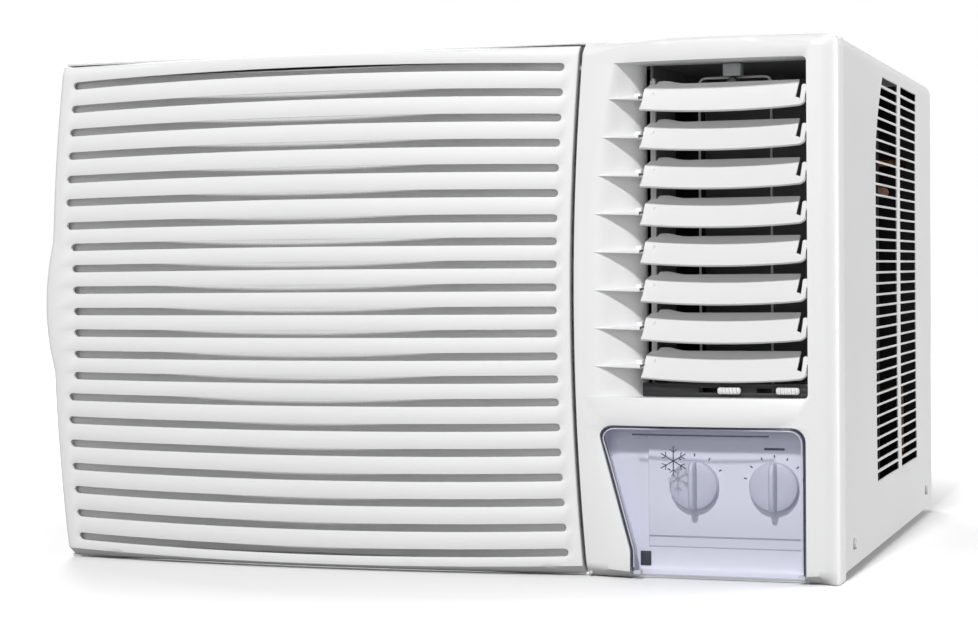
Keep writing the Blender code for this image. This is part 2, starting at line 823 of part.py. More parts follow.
# ---------------------------------------------------------------- controls
PANEL_Y = 0.0160
PANEL_X0 = 0.1360
PANEL_X1 = DOOR_RIGHT - 0.0006
build(
    "control_panel",
    boxes((PANEL_X0, PANEL_X1, PANEL_Y, PANEL_Y + 0.002, 0.0120, DOOR_TOP - 0.0006)),
    WHITE,
    [
        boxes((0.1780, PANEL_X1, PANEL_Y - 0.0030, PANEL_Y + 0.001, 0.0330, DOOR_TOP - 0.0006)),
        boxes((PANEL_X0, PANEL_X1, PANEL_Y + 0.001, PANEL_Y + 0.0080, 0.0120, 0.0140)),
    ],
    [rod((x, PANEL_Y - 0.02, KNOB_Z), (x, PANEL_Y + 0.02, KNOB_Z), SHAFT_R + 0.0006, 12) for x in KNOB_X],
)


def make_knob(name, x):
    face = PANEL_Y - 0.0030
    add = [
        boxes(
            (
                x - 0.0032,
                x + 0.0032,
                face - 0.0150,
                face - 0.0040,
                KNOB_Z - KNOB_R + 0.0015,
                KNOB_Z + KNOB_R - 0.0015,
            ),
        ),
        rod((x, face - 0.0010, KNOB_Z), (x, PANEL_Y + 0.0120, KNOB_Z), SHAFT_R, 12),
    ]
    return build(
        name,
        rod((x, face - 0.0065, KNOB_Z), (x, face - 0.0005, KNOB_Z), KNOB_R - 0.0015, 24, None),
        WHITE,
        add,
        (),
        (x, face, KNOB_Z),
    )


make_knob("selector_knob", KNOB_X[0])
make_knob("thermostat_knob", KNOB_X[1])


def make_door():
    """A curved clear plate following the face, cut to the door's outline, with a hinge barrel below."""
    levels = [0.0010, 0.0085, 0.0230, 0.0700, DOOR_TOP - 0.0070, DOOR_TOP - 0.0010]
    front = []
    back = []
    for r, level in enumerate(levels):
        x0 = door_left(level) + 0.0008 + (0.0040 if r == len(levels) - 1 else 0.0)
        x1 = DOOR_RIGHT - 0.0008 - (0.0040 if r == len(levels) - 1 else 0.0)
        near = []
        far = []
        for k in range(9):
            x = x0 + (x1 - x0) * k / 8
            y = outlet_y(x) * (0.85 if r == 0 else 1.0)
            near.append((x, y, level))
            far.append((x, y + 0.0024, level))
        front.append(near)
        back.append(far)
    return slab(front, back)


door_add = []
for x0, x1 in ((0.1700, 0.1760), (0.2990, 0.3046)):
    door_add.append(
        boxes(
            (
                x0,
                x1,
                outlet_y(x0) + 0.0012,
                DOOR_AXIS_Y + 0.0016,
                DOOR_AXIS_Z - 0.0016,
                DOOR_AXIS_Z + 0.0016,
            ),
        ),
    )
door_add.append(
    rod((DOOR_LEFT_LOW - 0.0030, DOOR_AXIS_Y, DOOR_AXIS_Z), (0.1750, DOOR_AXIS_Y, DOOR_AXIS_Z), 0.0012, 8),
)
door_add.append(
    rod((0.3000, DOOR_AXIS_Y, DOOR_AXIS_Z), (DOOR_RIGHT + 0.0020, DOOR_AXIS_Y, DOOR_AXIS_Z), 0.0012, 8),
)
build("control_door", make_door(), SMOKE, door_add, (), (0.24, DOOR_AXIS_Y, DOOR_AXIS_Z))

own(
    "selector_switch",
    boxes(
        (
            KNOB_X[0] - 0.018,
            KNOB_X[0] + 0.018,
            PANEL_Y + 0.0130,
            PANEL_Y + 0.0430,
            KNOB_Z - 0.018,
            KNOB_Z + 0.018,
        ),
    ),
    BLACK,
)
own(
    "thermostat",
    boxes(
        (
            KNOB_X[1] - 0.020,
            KNOB_X[1] + 0.020,
            PANEL_Y + 0.0130,
            PANEL_Y + 0.0480,
            KNOB_Z - 0.016,
            KNOB_Z + 0.020,
        ),
    ),
    ZINC,
)
build(
    "control_box",
    boxes((0.1400, 0.3220, FRONT_D + SPIGOT + 0.0040, 0.2100, 0.0100, 0.1370)),
    ZINC,
    (),
    [boxes((0.1412, 0.3208, 0.0400, 0.2088, 0.0112, 0.1358))],
)
own("run_capacitor", rod((0.2000, 0.1500, 0.0120), (0.2000, 0.1500, 0.0920), 0.0220, 16), FINS)


# ---------------------------------------------------------------- cabinet, pan and bulkhead
def side_wall(sign):
    x_out = sign * HALF
    x_in = sign * (HALF - SHEET)
    ys = [FRONT_D]
    for y0, y1 in VENT_COLS:
        ys += [y0, y1]
    ys.append(DEPTH)
    zs = [Z0]
    for k in range(VENT_ROWS):
        z = VENT_LOW + k * VENT_PITCH
        zs += [z, z + VENT_H]
    zs.append(ZT - 0.0005)
    near = [[(x_out, y, z) for y in ys] for z in zs]
    far = [[(x_in, y, z) for y in ys] for z in zs]
    hole = [(r, c) for r in range(1, len(zs) - 1, 2) for c in (1, 3)]
    return slab(near, far, hole)


screw_spots = [(-HALF, 0.070, 0.024), (HALF, 0.070, 0.024), (-HALF, 0.500, 0.024), (HALF, 0.500, 0.024)]
cabinet_cut = []
for x, y, z in screw_spots:
    inward = -math.copysign(1, x)
    cabinet_cut.append(rod((x - inward * 0.002, y, z), (x + inward * 0.004, y, z), 0.0026, 8))
build(
    "cabinet",
    side_wall(1),
    PAINTED,
    [
        side_wall(-1),
        boxes((-HALF, HALF, FRONT_D, DEPTH, ZT - SHEET, ZT)),
        boxes((-HALF, -HALF + 0.012, DEPTH - SHEET, DEPTH, Z0, ZT)),
        boxes((HALF - 0.012, HALF, DEPTH - SHEET, DEPTH, Z0, ZT)),
        boxes((-HALF, HALF, DEPTH - SHEET, DEPTH, ZT - 0.012, ZT)),
    ],
    cabinet_cut,
)
PAN_X = HALF - SHEET - GAP
PAN_Y0 = FRONT_D + SPIGOT + 0.0040
PAN_Y1 = DEPTH - SHEET - GAP
pan_cut = [
    boxes((-PAN_X + SHEET, PAN_X - SHEET, PAN_Y0 + SHEET, PAN_Y1 - SHEET, Z0 + SHEET + 0.0005, 0.060)),
]
for x, y, z in screw_spots:
    inward = -math.copysign(1, x)
    pan_cut.append(rod((x - inward * 0.002, y, z), (x + inward * 0.006, y, z), 0.0026, 8))
build(
    "base_pan",
    boxes((-PAN_X, PAN_X, PAN_Y0, PAN_Y1, Z0 + 0.0005, 0.0400)),
    ZINC,
    [
        boxes((-0.270, -0.230, 0.060, 0.520, 0.0, Z0 + 0.001)),
        boxes((0.230, 0.270, 0.060, 0.520, 0.0, Z0 + 0.001)),
    ],
    pan_cut + [boxes((-PAN_X + 0.010, 0.327, PAN_Y0 - 0.01, PAN_Y0 + 0.01, Z0 + SHEET + 0.0005, 0.060))],
)
for k, (x, y, z) in enumerate(screw_spots):
    inward = -math.copysign(1, x)
    head = rod((x - inward * SCREW_HEAD, y, z), (x - inward * 0.0003, y, z), 0.0045, 12)
    shank = rod((x - inward * 0.0010, y, z), (x + inward * 0.0060, y, z), 0.0020, 8)
    build(f"cabinet_screw_{k + 1}", head, ZINC, [shank])

PAN_TOP = Z0 + SHEET + 0.0005
BULK_Y = 0.2360
VENT_FLAPS = ((0.2280, 0.0800, "fresh_air_damper"), (0.1350, 0.0600, "exhaust_damper"))
FLAP_Z = 0.3780
FLAP_H = 0.0400
bulk_cut = [rod((FAN_X, BULK_Y - 0.01, FAN_Z), (FAN_X, BULK_Y + 0.02, FAN_Z), FAN_SHAFT_R + 0.006, 16)]
bulk_cut.append(boxes((0.150, 0.170, BULK_Y - 0.01, BULK_Y + 0.01, 0.020, 0.045)))
for x, w, _name in VENT_FLAPS:
    bulk_cut.append(boxes((x - w / 2, x + w / 2, BULK_Y - 0.01, BULK_Y + 0.01, FLAP_Z - FLAP_H, FLAP_Z)))
build(
    "bulkhead",
    boxes((-0.3250, 0.3250, BULK_Y, BULK_Y + SHEET, PAN_TOP + 0.0005, ZT - SHEET - 0.0010)),
    ZINC,
    [boxes((-0.3250, 0.3250, BULK_Y, BULK_Y + 0.0120, PAN_TOP + 0.0005, PAN_TOP + 0.0005 + SHEET))],
    bulk_cut,
)
for x, w, name in VENT_FLAPS:
    lug = [
        rod(
            (x - w / 2 + 0.004, BULK_Y + 0.0040, FLAP_Z + 0.002),
            (x + w / 2 - 0.004, BULK_Y + 0.0040, FLAP_Z + 0.002),
            0.0015,
            8,
        ),
    ]
    plate = boxes(
        (
            x - w / 2 - 0.003,
            x + w / 2 + 0.003,
            BULK_Y + 0.0020,
            BULK_Y + 0.0035,
            FLAP_Z - FLAP_H - 0.003,
            FLAP_Z + 0.0030,
        ),
    )
    build(name, plate, WHITE, lug, (), (x, BULK_Y + 0.0040, FLAP_Z + 0.002))


# ---------------------------------------------------------------- coils
def make_coil(name, x0, x1, y0, y1, z0, z1, rows, reach, material=FINS):
    """A fin block with hairpin bends standing out of both ends."""
    add = []
    for k in range(rows):
        z = z0 + (z1 - z0) * (k + 0.5) / rows
        half = (z1 - z0) / rows * 0.25
        for end, out in ((x0, -reach), (x1, reach)):
            bend = rounded(
                [
                    (end - out, (y0 + y1) / 2, z - half),
                    (end + out, (y0 + y1) / 2, z - half),
                    (end + out, (y0 + y1) / 2, z + half),
                    (end - out, (y0 + y1) / 2, z + half),
                ],
                0.010,
                1,
            )
            add.append(tube(bend, 0.0040, 6))
    return build(name, boxes((x0, x1, y0, y1, z0, z1)), material, add)


make_coil("evaporator_coil", -0.2950, 0.0950, 0.0520, 0.0900, 0.0480, 0.4000, 4, 0.0130)
make_coil("condenser_coil", -0.2900, 0.2900, 0.4900, 0.5300, PAN_TOP + 0.0030, 0.4080, 4, 0.0150)
build(
    "drip_tray",
    boxes((-0.3150, 0.1200, 0.0480, 0.0960, PAN_TOP + 0.0005, 0.0470)),
    FOAM,
    (),
    [boxes((-0.3110, 0.1160, 0.0515, 0.0925, 0.0200, 0.0600))],
)

# ---------------------------------------------------------------- blower, motor and condenser fan
SCROLL_Y0 = 0.0980
SCROLL_Y1 = 0.2280


def scroll_outline(grow):
    made = []
    for k in range(15):
        turn = math.radians(-40 + 220 * k / 14)
        reach = BLOWER_R + 0.020 + 0.040 * k / 14 + grow
        made.append((FAN_X - reach * math.sin(turn), FAN_Z - reach * math.cos(turn)))
    return made


def make_scroll():
    outer = scroll_outline(0.004)
    outer += [(DUCT_X0 - 0.0015, outer[-1][1]), (DUCT_X0 - 0.0015, 0.1440), (0.0900, 0.1440)]
    hollow = scroll_outline(0.0)
    hollow += [(DUCT_X0 + 0.02, hollow[-1][1]), (DUCT_X0 + 0.02, 0.1480), (0.0890, 0.1480)]
    return outer, hollow


scroll_outer, scroll_hollow = make_scroll()
build(
    "blower_housing",
    prism(scroll_outer, "Y", SCROLL_Y0, SCROLL_Y1),
    FOAM,
    (),
    [
        prism(scroll_hollow, "Y", SCROLL_Y0 + 0.004, SCROLL_Y1 - 0.004),
        rod((FAN_X, SCROLL_Y0 - 0.01, FAN_Z), (FAN_X, SCROLL_Y0 + 0.01, FAN_Z), BLOWER_R - 0.012, 24),
        rod((FAN_X, SCROLL_Y1 - 0.01, FAN_Z), (FAN_X, SCROLL_Y1 + 0.01, FAN_Z), 0.020, 16),
    ],
)


def make_blower():
    """A drum of narrow blades between a back plate and a front ring."""
    y0 = SCROLL_Y0 + 0.012
    y1 = SCROLL_Y1 - 0.016
    blades = []
    for k in range(16):
        turn = 2 * math.pi * k / 16
        a = turn + 0.10
        outer = BLOWER_R - 0.001
        inner = BLOWER_R - 0.019
        pts = [
            (FAN_X + inner * math.cos(turn), FAN_Z + inner * math.sin(turn)),
            (FAN_X + outer * math.cos(a), FAN_Z + outer * math.sin(a)),
            (FAN_X + outer * math.cos(a + 0.02), FAN_Z + outer * math.sin(a + 0.02)),
            (FAN_X + inner * math.cos(turn + 0.025), FAN_Z + inner * math.sin(turn + 0.025)),
        ]
        blades.append(prism(pts, "Y", y0 + 0.001, y1 - 0.0005))
    ring = rod((FAN_X, y0, FAN_Z), (FAN_X, y0 + 0.003, FAN_Z), BLOWER_R, 24)
    hub = rod((FAN_X, y1 - 0.025, FAN_Z), (FAN_X, y1, FAN_Z), 0.018, 16)
    bore = rod((FAN_X, y0 - 0.02, FAN_Z), (FAN_X, y1 + 0.02, FAN_Z), FAN_SHAFT_R + 0.0003, 16)
    eye = rod((FAN_X, y0 - 0.01, FAN_Z), (FAN_X, y0 + 0.01, FAN_Z), BLOWER_R - 0.018, 24)
    back = rod((FAN_X, y1 - 0.002, FAN_Z), (FAN_X, y1, FAN_Z), BLOWER_R, 24)
    return build("blower_wheel", back, BLACK, [hub, ring] + blades, [bore, eye], (FAN_X, y0, FAN_Z))


make_blower()
MOTOR_Y0 = 0.2600
MOTOR_Y1 = 0.3600
own(
    "fan_shaft",
    rod((FAN_X, SCROLL_Y0 + 0.080, FAN_Z), (FAN_X, 0.4560, FAN_Z), FAN_SHAFT_R, 16),
    ZINC,
    (FAN_X, 0.3, FAN_Z),
)
build(
    "fan_motor",
    rod((FAN_X, MOTOR_Y0, FAN_Z), (FAN_X, MOTOR_Y1, FAN_Z), 0.0620, 24),
    DARK_STEEL,
    [rod((FAN_X, MOTOR_Y0 - 0.010, FAN_Z), (FAN_X, MOTOR_Y1 + 0.010, FAN_Z), 0.0180, 16)],
    [rod((FAN_X, MOTOR_Y0 - 0.03, FAN_Z), (FAN_X, MOTOR_Y1 + 0.03, FAN_Z), FAN_SHAFT_R + 0.0004, 16)],
)
build(
    "motor_bracket",
    boxes((FAN_X - 0.072, FAN_X + 0.072, 0.290, 0.330, PAN_TOP + 0.0005, PAN_TOP + 0.0025)),
    ZINC,
    [
        boxes((FAN_X - 0.072, FAN_X - 0.069, 0.290, 0.330, PAN_TOP + 0.0005, FAN_Z)),
        boxes((FAN_X + 0.069, FAN_X + 0.072, 0.290, 0.330, PAN_TOP + 0.0005, FAN_Z)),
        boxes((FAN_X - 0.072, FAN_X + 0.072, 0.290, 0.330, FAN_Z - 0.080, FAN_Z - 0.077)),
        rod((FAN_X, 0.290, FAN_Z), (FAN_X, 0.330, FAN_Z), 0.0720, 24),
    ],
    [rod((FAN_X, 0.280, FAN_Z), (FAN_X, 0.340, FAN_Z), 0.0624, 24)],
)


def make_axial():
    """Five pitched blades on a hub, with a slinger ring round their tips."""
    y0 = 0.4160
    y1 = 0.4460
    blades = []
    for k in range(5):
        turn = 2 * math.pi * k / 5
        near = []
        far = []
        for r in (0.028, 0.085, CONDENSER_FAN_R - 0.002):
            row = []
            low = []
            for s in (-0.5, 0.0, 0.5):
                wide = 0.75 * s
                deep = (y0 + y1) / 2 + s * (y1 - y0 - 0.006)
                a = turn + wide
                row.append((FAN_X + r * math.cos(a), deep, FAN_Z + r * math.sin(a)))
                low.append((FAN_X + r * math.cos(a), deep + 0.0025, FAN_Z + r * math.sin(a)))
            near.append(row)
            far.append(low)
        blades.append(slab(near, far))
    hub = rod((FAN_X, y0, FAN_Z), (FAN_X, y1, FAN_Z), 0.0320, 20)
    ring = rod((FAN_X, y1 - 0.014, FAN_Z), (FAN_X, y1 - 0.006, FAN_Z), CONDENSER_FAN_R + 0.002, 32)
    return hub, ring, blades


axial_hub, axial_ring, axial_blades = make_axial()
ring_shape = slab(
    [
        [
            (FAN_X + r * math.cos(2 * math.pi * k / 32), 0.4320, FAN_Z + r * math.sin(2 * math.pi * k / 32))
            for k in range(33)
        ]
        for r in (CONDENSER_FAN_R - 0.003, CONDENSER_FAN_R + 0.001)
    ],
    [
        [
            (FAN_X + r * math.cos(2 * math.pi * k / 32), 0.4380, FAN_Z + r * math.sin(2 * math.pi * k / 32))
            for k in range(33)
        ]
        for r in (CONDENSER_FAN_R - 0.003, CONDENSER_FAN_R + 0.001)
    ],
)
weld = bmesh.new()
weld.from_mesh(ring_shape)
bmesh.ops.remove_doubles(weld, verts=weld.verts, dist=0.00001)
inner_faces = [
    f
    for f in weld.faces if all(
        abs(v.co.z - FAN_Z) < 1e-6 for v in f.verts
    ) and f.calc_center_median().x > FAN_X
]
bmesh.ops.delete(weld, geom=inner_faces, context="FACES_ONLY")
ring_shape = finished(weld)
build(
    "condenser_fan",
    axial_hub,
    BLACK,
    axial_blades + [ring_shape],
    [rod((FAN_X, 0.40, FAN_Z), (FAN_X, 0.47, FAN_Z), FAN_SHAFT_R + 0.0003, 16)],
    (FAN_X, 0.43, FAN_Z),
)
build(
    "fan_shroud",
    boxes((-0.2900, 0.2900, 0.4600, 0.4620, PAN_TOP + 0.0030, 0.4080)),
    ZINC,
    [
        boxes((-0.2900, -0.2880, 0.4600, 0.4890, PAN_TOP + 0.0030, 0.4080)),
        boxes((0.2880, 0.2900, 0.4600, 0.4890, PAN_TOP + 0.0030, 0.4080)),
        boxes((-0.2900, 0.2900, 0.4600, 0.4890, 0.4060, 0.4080)),
        rod((FAN_X, 0.4250, FAN_Z), (FAN_X, 0.4620, FAN_Z), CONDENSER_FAN_R + 0.012, 32),
    ],
    [rod((FAN_X, 0.4200, FAN_Z), (FAN_X, 0.4700, FAN_Z), CONDENSER_FAN_R + 0.009, 32)],
)

# ---------------------------------------------------------------- compressor and pipework
COMP_X = 0.2150
COMP_Y = 0.3450
COMP_R = 0.0620
COMP_Z = 0.0300
foot_spots = []
for k in range(3):
    turn = math.radians(90 + 120 * k)
    foot_spots.append((COMP_X + 0.078 * math.cos(turn), COMP_Y + 0.078 * math.sin(turn)))
comp_add = [
    rod((COMP_X, COMP_Y, 0.2240), (COMP_X, COMP_Y, 0.2480), COMP_R, 24, 0.0380),
    rod((COMP_X, COMP_Y, 0.2460), (COMP_X, COMP_Y, 0.2580), 0.0120, 12),
]
for x, y in foot_spots:
    comp_add.append(rod((x, y, COMP_Z), (x, y, COMP_Z + 0.003), 0.0140, 12))
    mid = (Vector((x, y)) - Vector((COMP_X, COMP_Y))) * 0.6
    comp_add.append(
        tube([(COMP_X + mid.x, COMP_Y + mid.y, COMP_Z + 0.0015), (x, y, COMP_Z + 0.0015)], 0.0016, 4),
    )
comp_cut = [rod((x, y, COMP_Z - 0.01), (x, y, COMP_Z + 0.02), 0.0056, 12) for x, y in foot_spots]
build(
    "compressor",
    rod((COMP_X, COMP_Y, COMP_Z), (COMP_X, COMP_Y, 0.2250), COMP_R, 24),
    DARK_STEEL,
    comp_add,
    comp_cut,
)
for k, (x, y) in enumerate(foot_spots):
    low = rod((x, y, PAN_TOP + 0.0005), (x, y, COMP_Z - 0.0004), 0.0110, 12)
    neck = rod((x, y, COMP_Z - 0.0010), (x, y, COMP_Z + 0.0070), 0.0050, 12)
    build(f"compressor_grommet_{k + 1}", low, RUBBER, [neck])
ACC = (0.1150, 0.3900)
build(
    "accumulator",
    rod((ACC[0], ACC[1], 0.0900), (ACC[0], ACC[1], 0.2000), 0.0250, 16),
    DARK_STEEL,
    [
        rod((ACC[0], ACC[1], 0.1990), (ACC[0], ACC[1], 0.2150), 0.0250, 16, 0.0090),
        rod((ACC[0], ACC[1], 0.0760), (ACC[0], ACC[1], 0.0910), 0.0090, 16, 0.0250),
    ],
)
own(
    "suction_pipe",
    tube(
        rounded(
            [
                (ACC[0], ACC[1], 0.2160),
                (ACC[0], ACC[1], 0.3100),
                (0.3100, 0.3900, 0.3100),
                (0.3100, 0.2600, 0.3100),
                (0.3100, 0.2600, 0.0900),
            ],
            0.020,
        ),
        0.0048,
        8,
    ),
    COPPER,
)
own(
    "discharge_pipe",
    tube(
        rounded(
            [
                (COMP_X, COMP_Y, 0.2590),
                (COMP_X, COMP_Y, 0.3400),
                (COMP_X, 0.4400, 0.3400),
                (0.3120, 0.4400, 0.3400),
                (0.3120, 0.4850, 0.3400),
            ],
            0.018,
        ),
        0.0040,
        8,
    ),
    COPPER,
)
own(
    "capillary_tube",
    tube(
        rounded(
            [
                (0.3160, 0.5000, 0.0600),
                (0.3160, 0.4400, 0.0600),
                (0.3160, 0.4400, 0.1300),
                (0.3160, 0.2800, 0.1300),
                (0.3160, 0.2800, 0.0700),
            ],
            0.015,
        ),
        0.0015,
        6,
    ),
    COPPER,
)

# ---------------------------------------------------------------- centre the part over its own footprint
x_low = left_x(0.2140)
y_low = -BULGE_L
middle = Vector(((x_low + HALF + SCREW_HEAD) / 2, (y_low + DEPTH) / 2, 0))
for made in PARTS.objects:
    made.location -= middle
for group in CUTTERS.children:
    for made in group.objects:
        made.location -= middle
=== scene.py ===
"""Window air conditioner: visible shapes, finishes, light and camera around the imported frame."""

import json
import math

import bpy
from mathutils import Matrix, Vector


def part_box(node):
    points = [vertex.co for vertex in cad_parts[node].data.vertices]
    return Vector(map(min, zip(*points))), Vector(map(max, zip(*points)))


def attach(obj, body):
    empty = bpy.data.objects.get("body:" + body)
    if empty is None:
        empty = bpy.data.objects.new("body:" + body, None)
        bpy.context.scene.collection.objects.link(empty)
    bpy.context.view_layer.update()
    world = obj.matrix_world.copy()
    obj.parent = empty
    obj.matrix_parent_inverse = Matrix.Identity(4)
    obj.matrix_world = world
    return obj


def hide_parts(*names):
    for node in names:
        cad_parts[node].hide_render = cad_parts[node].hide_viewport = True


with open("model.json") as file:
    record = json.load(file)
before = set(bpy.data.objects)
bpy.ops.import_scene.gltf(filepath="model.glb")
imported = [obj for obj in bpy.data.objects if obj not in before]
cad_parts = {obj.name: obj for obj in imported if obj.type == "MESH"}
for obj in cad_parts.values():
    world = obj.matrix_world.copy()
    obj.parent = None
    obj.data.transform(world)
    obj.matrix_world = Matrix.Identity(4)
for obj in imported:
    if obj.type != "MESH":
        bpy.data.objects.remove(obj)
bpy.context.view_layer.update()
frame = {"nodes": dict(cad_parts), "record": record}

NODES = frame["nodes"]

# -------- sizes, in metres
HALF = 0.330
CASE_TOP = 0.421
CASE_LOW = 0.006
DEPTH = 0.545
FRONT_D = 0.030
CASE_ROUND = 0.0100
MID_Z = CASE_TOP / 2
BULGE_L = 0.0158
BULGE_R = 0.010
EDGE_BOW = 0.0137
GAP_BOW = 0.0098
GRIP_OUT = 0.0063
SPLIT_X = 0.1310
SPLIT_GAP = 0.0025
SLOT_COUNT = 21
SLOT_H = 0.0063
SLOT_TOP_Z = 0.4005
SLOT_LOW_Z = 0.0193
SLOT_MID_PITCH = 0.0181
SLOT_ARC = 0.0043
OUT_RIGHT = 0.3074
OUT_LOW = 0.142
OUT_TOP = 0.402
OUT_DEEP_X = 0.1745
DOOR_RIGHT = 0.3056
DOOR_TOP = 0.1200
DOOR_LEFT_TOP = 0.1420
DOOR_LEFT_LOW = 0.1674
DOOR_ROUND = 0.0110
LOUVRE_PITCH = 0.0298
LOUVRE_FIRST_Z = 0.3768
LOUVRE_Y = 0.0100
LOUVRE_X0 = 0.1775
LOUVRE_X1 = 0.3045
LOUVRE_TILT = math.radians(42)
LOUVRE_LOW = -0.0151
LOUVRE_HIGH = 0.0119
ARM = 0.0165
RIB_DROP = 0.0022
TIE_RISE = 0.0150
TIE_X = 0.1810
KNOB_R = 0.0200
KNOB_Z = 0.0730
KNOB_X = (0.2150, 0.2780)
LEVER_X = (0.2450, 0.2905)
LEVER_Z = 0.1475
PANEL_Y = 0.0160
VENT_ROWS = 37
VENT_PITCH = 0.00934
VENT_LOW = 0.0608
VENT_H = 0.0072
VENT_COLS = ((0.195, 0.319), (0.339, 0.441))

# Strengths of the lights.
FILL = 0.13  # strength of the even light from all round
KEY = 162.0  # watts, above the front
SIDE = 96.0  # watts, beside and behind, for the cabinet side
FRONT = 39.0  # watts, low at the front
BACK = 90.0  # watts, behind and above, for the coil and the left side

STAR_X, STAR_Z, STAR_SIZE = 0.2035, 0.0935, 0.0115
GUARD_X0, GUARD_X1, GUARD_Y = 0.2148, 0.2720, 0.0385
SCREW_X = 0.2440  # the bracket's middle
CONDENSER_FINS, EVAPORATOR_FINS = 260, 180
FLOOR_NEAR, FLOOR_FAR = 0.40, 1.10  # the floor turns from shaded to plain white between these distances
FLOOR_BOUNCE = 0.30  # how light the floor is to everything but the camera

# The drawing's own zero: the cabinet's middle, the front's corner plane and the floor.
ZERO = Vector((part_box("front_frame")[0].x + HALF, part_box("base_pan")[1].y - (DEPTH - 0.0017), 0.0))


# -------- modelling steps
def nothing_selected():
    if bpy.context.object and bpy.context.object.mode != "OBJECT":
        bpy.ops.object.mode_set(mode="OBJECT")
    bpy.ops.object.select_all(action="DESELECT")


def only(piece):
    nothing_selected()
    piece.select_set(True)
    bpy.context.view_layer.objects.active = piece


def modified(piece, kind, **settings):
    """One modifier put on and applied."""
    only(piece)
    step = piece.modifiers.new(kind.lower(), kind)
    for key, value in settings.items():
        setattr(step, key, value)
    bpy.ops.object.modifier_apply(modifier=step.name)
    return piece


def thickened(piece, thick, offset=-1.0, even=True):
    """A wall of even thickness. Without even, tight corners can't throw spikes."""
    return modified(
        piece, "SOLIDIFY", thickness=thick, offset=offset, use_even_offset=even, use_quality_normals=True
    )


def eased(piece, width, segments=2, angle=35):
    return modified(
        piece,
        "BEVEL",
        width=width,
        segments=segments,
        limit_method="ANGLE",
        angle_limit=math.radians(angle),
        use_clamp_overlap=True,
    )


def smoothed(piece, angle=35):
    only(piece)
    bpy.ops.object.shade_smooth_by_angle(angle=math.radians(angle))
    return piece


def edit(piece, steps):
    """Runs the given steps in edit mode with everything selected."""
    only(piece)
    bpy.ops.object.mode_set(mode="EDIT")
    bpy.ops.mesh.select_all(action="SELECT")
    steps()
    bpy.ops.object.mode_set(mode="OBJECT")
    return piece


def welded(piece, within=1e-6, outward=False):
    def steps():
        bpy.ops.mesh.remove_doubles(threshold=within)
        bpy.ops.mesh.dissolve_degenerate(threshold=1e-7)
        if outward:
            bpy.ops.mesh.select_all(action="SELECT")
            bpy.ops.mesh.normals_make_consistent(inside=False)

    return edit(piece, steps)


def sheet(name, cols, rows, place, holes=(), weld=True):
    """A flat grid whose corners are moved to their places, with the cells in holes deleted."""
    nothing_selected()
    bpy.ops.mesh.primitive_grid_add(x_subdivisions=cols, y_subdivisions=rows, size=2)
    piece = bpy.context.object
    piece.name = piece.data.name = name
    mesh = piece.data
    if holes:
        only(piece)
        bpy.context.tool_settings.mesh_select_mode = (False, False, True)
        bpy.ops.object.mode_set(mode="EDIT")
        bpy.ops.mesh.select_all(action="DESELECT")
        bpy.ops.object.mode_set(mode="OBJECT")
        holes = set(holes)
        for face in mesh.polygons:
            middle = face.center
            face.select = (int((middle.x + 1) / 2 * cols), int((middle.y + 1) / 2 * rows)) in holes
        bpy.ops.object.mode_set(mode="EDIT")
        bpy.ops.mesh.delete(type="FACE")
        bpy.ops.object.mode_set(mode="OBJECT")
        bpy.context.tool_settings.mesh_select_mode = (True, False, False)
    for corner in mesh.vertices:
        spot = place(round((corner.co.x + 1) / 2 * cols), round((corner.co.y + 1) / 2 * rows))
        corner.co = Vector(spot) + ZERO
    if weld:
        welded(piece)
    return piece


def block(name, x0, x1, y0, y1, z0, z1, edge=0.0004, segments=2):
    """A moulded bar: a cube at its size and place, its edges rounded in edit mode."""
    nothing_selected()
    middle = Vector(((x0 + x1) / 2, (y0 + y1) / 2, (z0 + z1) / 2)) + ZERO
    bpy.ops.mesh.primitive_cube_add(size=1, location=middle, scale=(x1 - x0, y1 - y0, z1 - z0))
    piece = bpy.context.object
    piece.name = piece.data.name = name
    only(piece)
    bpy.ops.object.transform_apply(location=True, rotation=True, scale=True)
    edit(piece, lambda: bpy.ops.mesh.bevel(offset=edge, segments=segments, affect="EDGES"))
    return smoothed(piece)


def turned(name, centre, axis, profile, sides=48):
    """A turned piece: the profile of radius and height is swept round the axis 'Y', 'X' or 'Z'."""
    cx, cy, cz = centre

    def place(i, j):
        radius, along = profile[j]
        turn = 2 * math.pi * i / sides
        a, b = radius * math.cos(turn), radius * math.sin(turn)
        if axis == "Y":
            return cx + a, cy + along, cz + b
        if axis == "X":
            return cx + along, cy + a, cz + b
        return cx + a, cy + b, cz + along

    piece = sheet(name, sides, len(profile) - 1, place)
    welded(piece, 2e-6, outward=True)
    return smoothed(piece, 32)


def joined(name, pieces):
    nothing_selected()
    for piece in pieces:
        piece.select_set(True)
    bpy.context.view_layer.objects.active = pieces[0]
    if len(pieces) > 1:
        bpy.ops.object.join()
    made = bpy.context.object
    made.name = made.data.name = name
    return made


def copied(piece, name, move):
    """The same shape again, with its own mesh, moved in its mesh."""
    mesh = piece.data.copy()
    mesh.name = name
    for corner in mesh.vertices:
        corner.co += Vector(move)
    made = bpy.data.objects.new(name, mesh)
    bpy.context.scene.collection.objects.link(made)
    return made


def wire(name, points, radius, sides=10):
    """A round wire along a smooth run of points."""
    line = bpy.data.curves.new(name, "CURVE")
    line.dimensions = "3D"
    line.bevel_depth = radius
    line.bevel_resolution = max(1, sides // 4)
    line.use_fill_caps = True
    run = line.splines.new("POLY")
    run.points.add(len(points) - 1)
    for spot, point in zip(run.points, points):
        spot.co = (*(Vector(point) + ZERO), 1)
    made = bpy.data.objects.new(name, line)
    bpy.context.scene.collection.objects.link(made)
    only(made)
    bpy.ops.object.convert(target="MESH")
    made = bpy.context.object
    made.name = made.data.name = name
    welded(made, 1e-7, outward=True)
    return smoothed(made, 50)


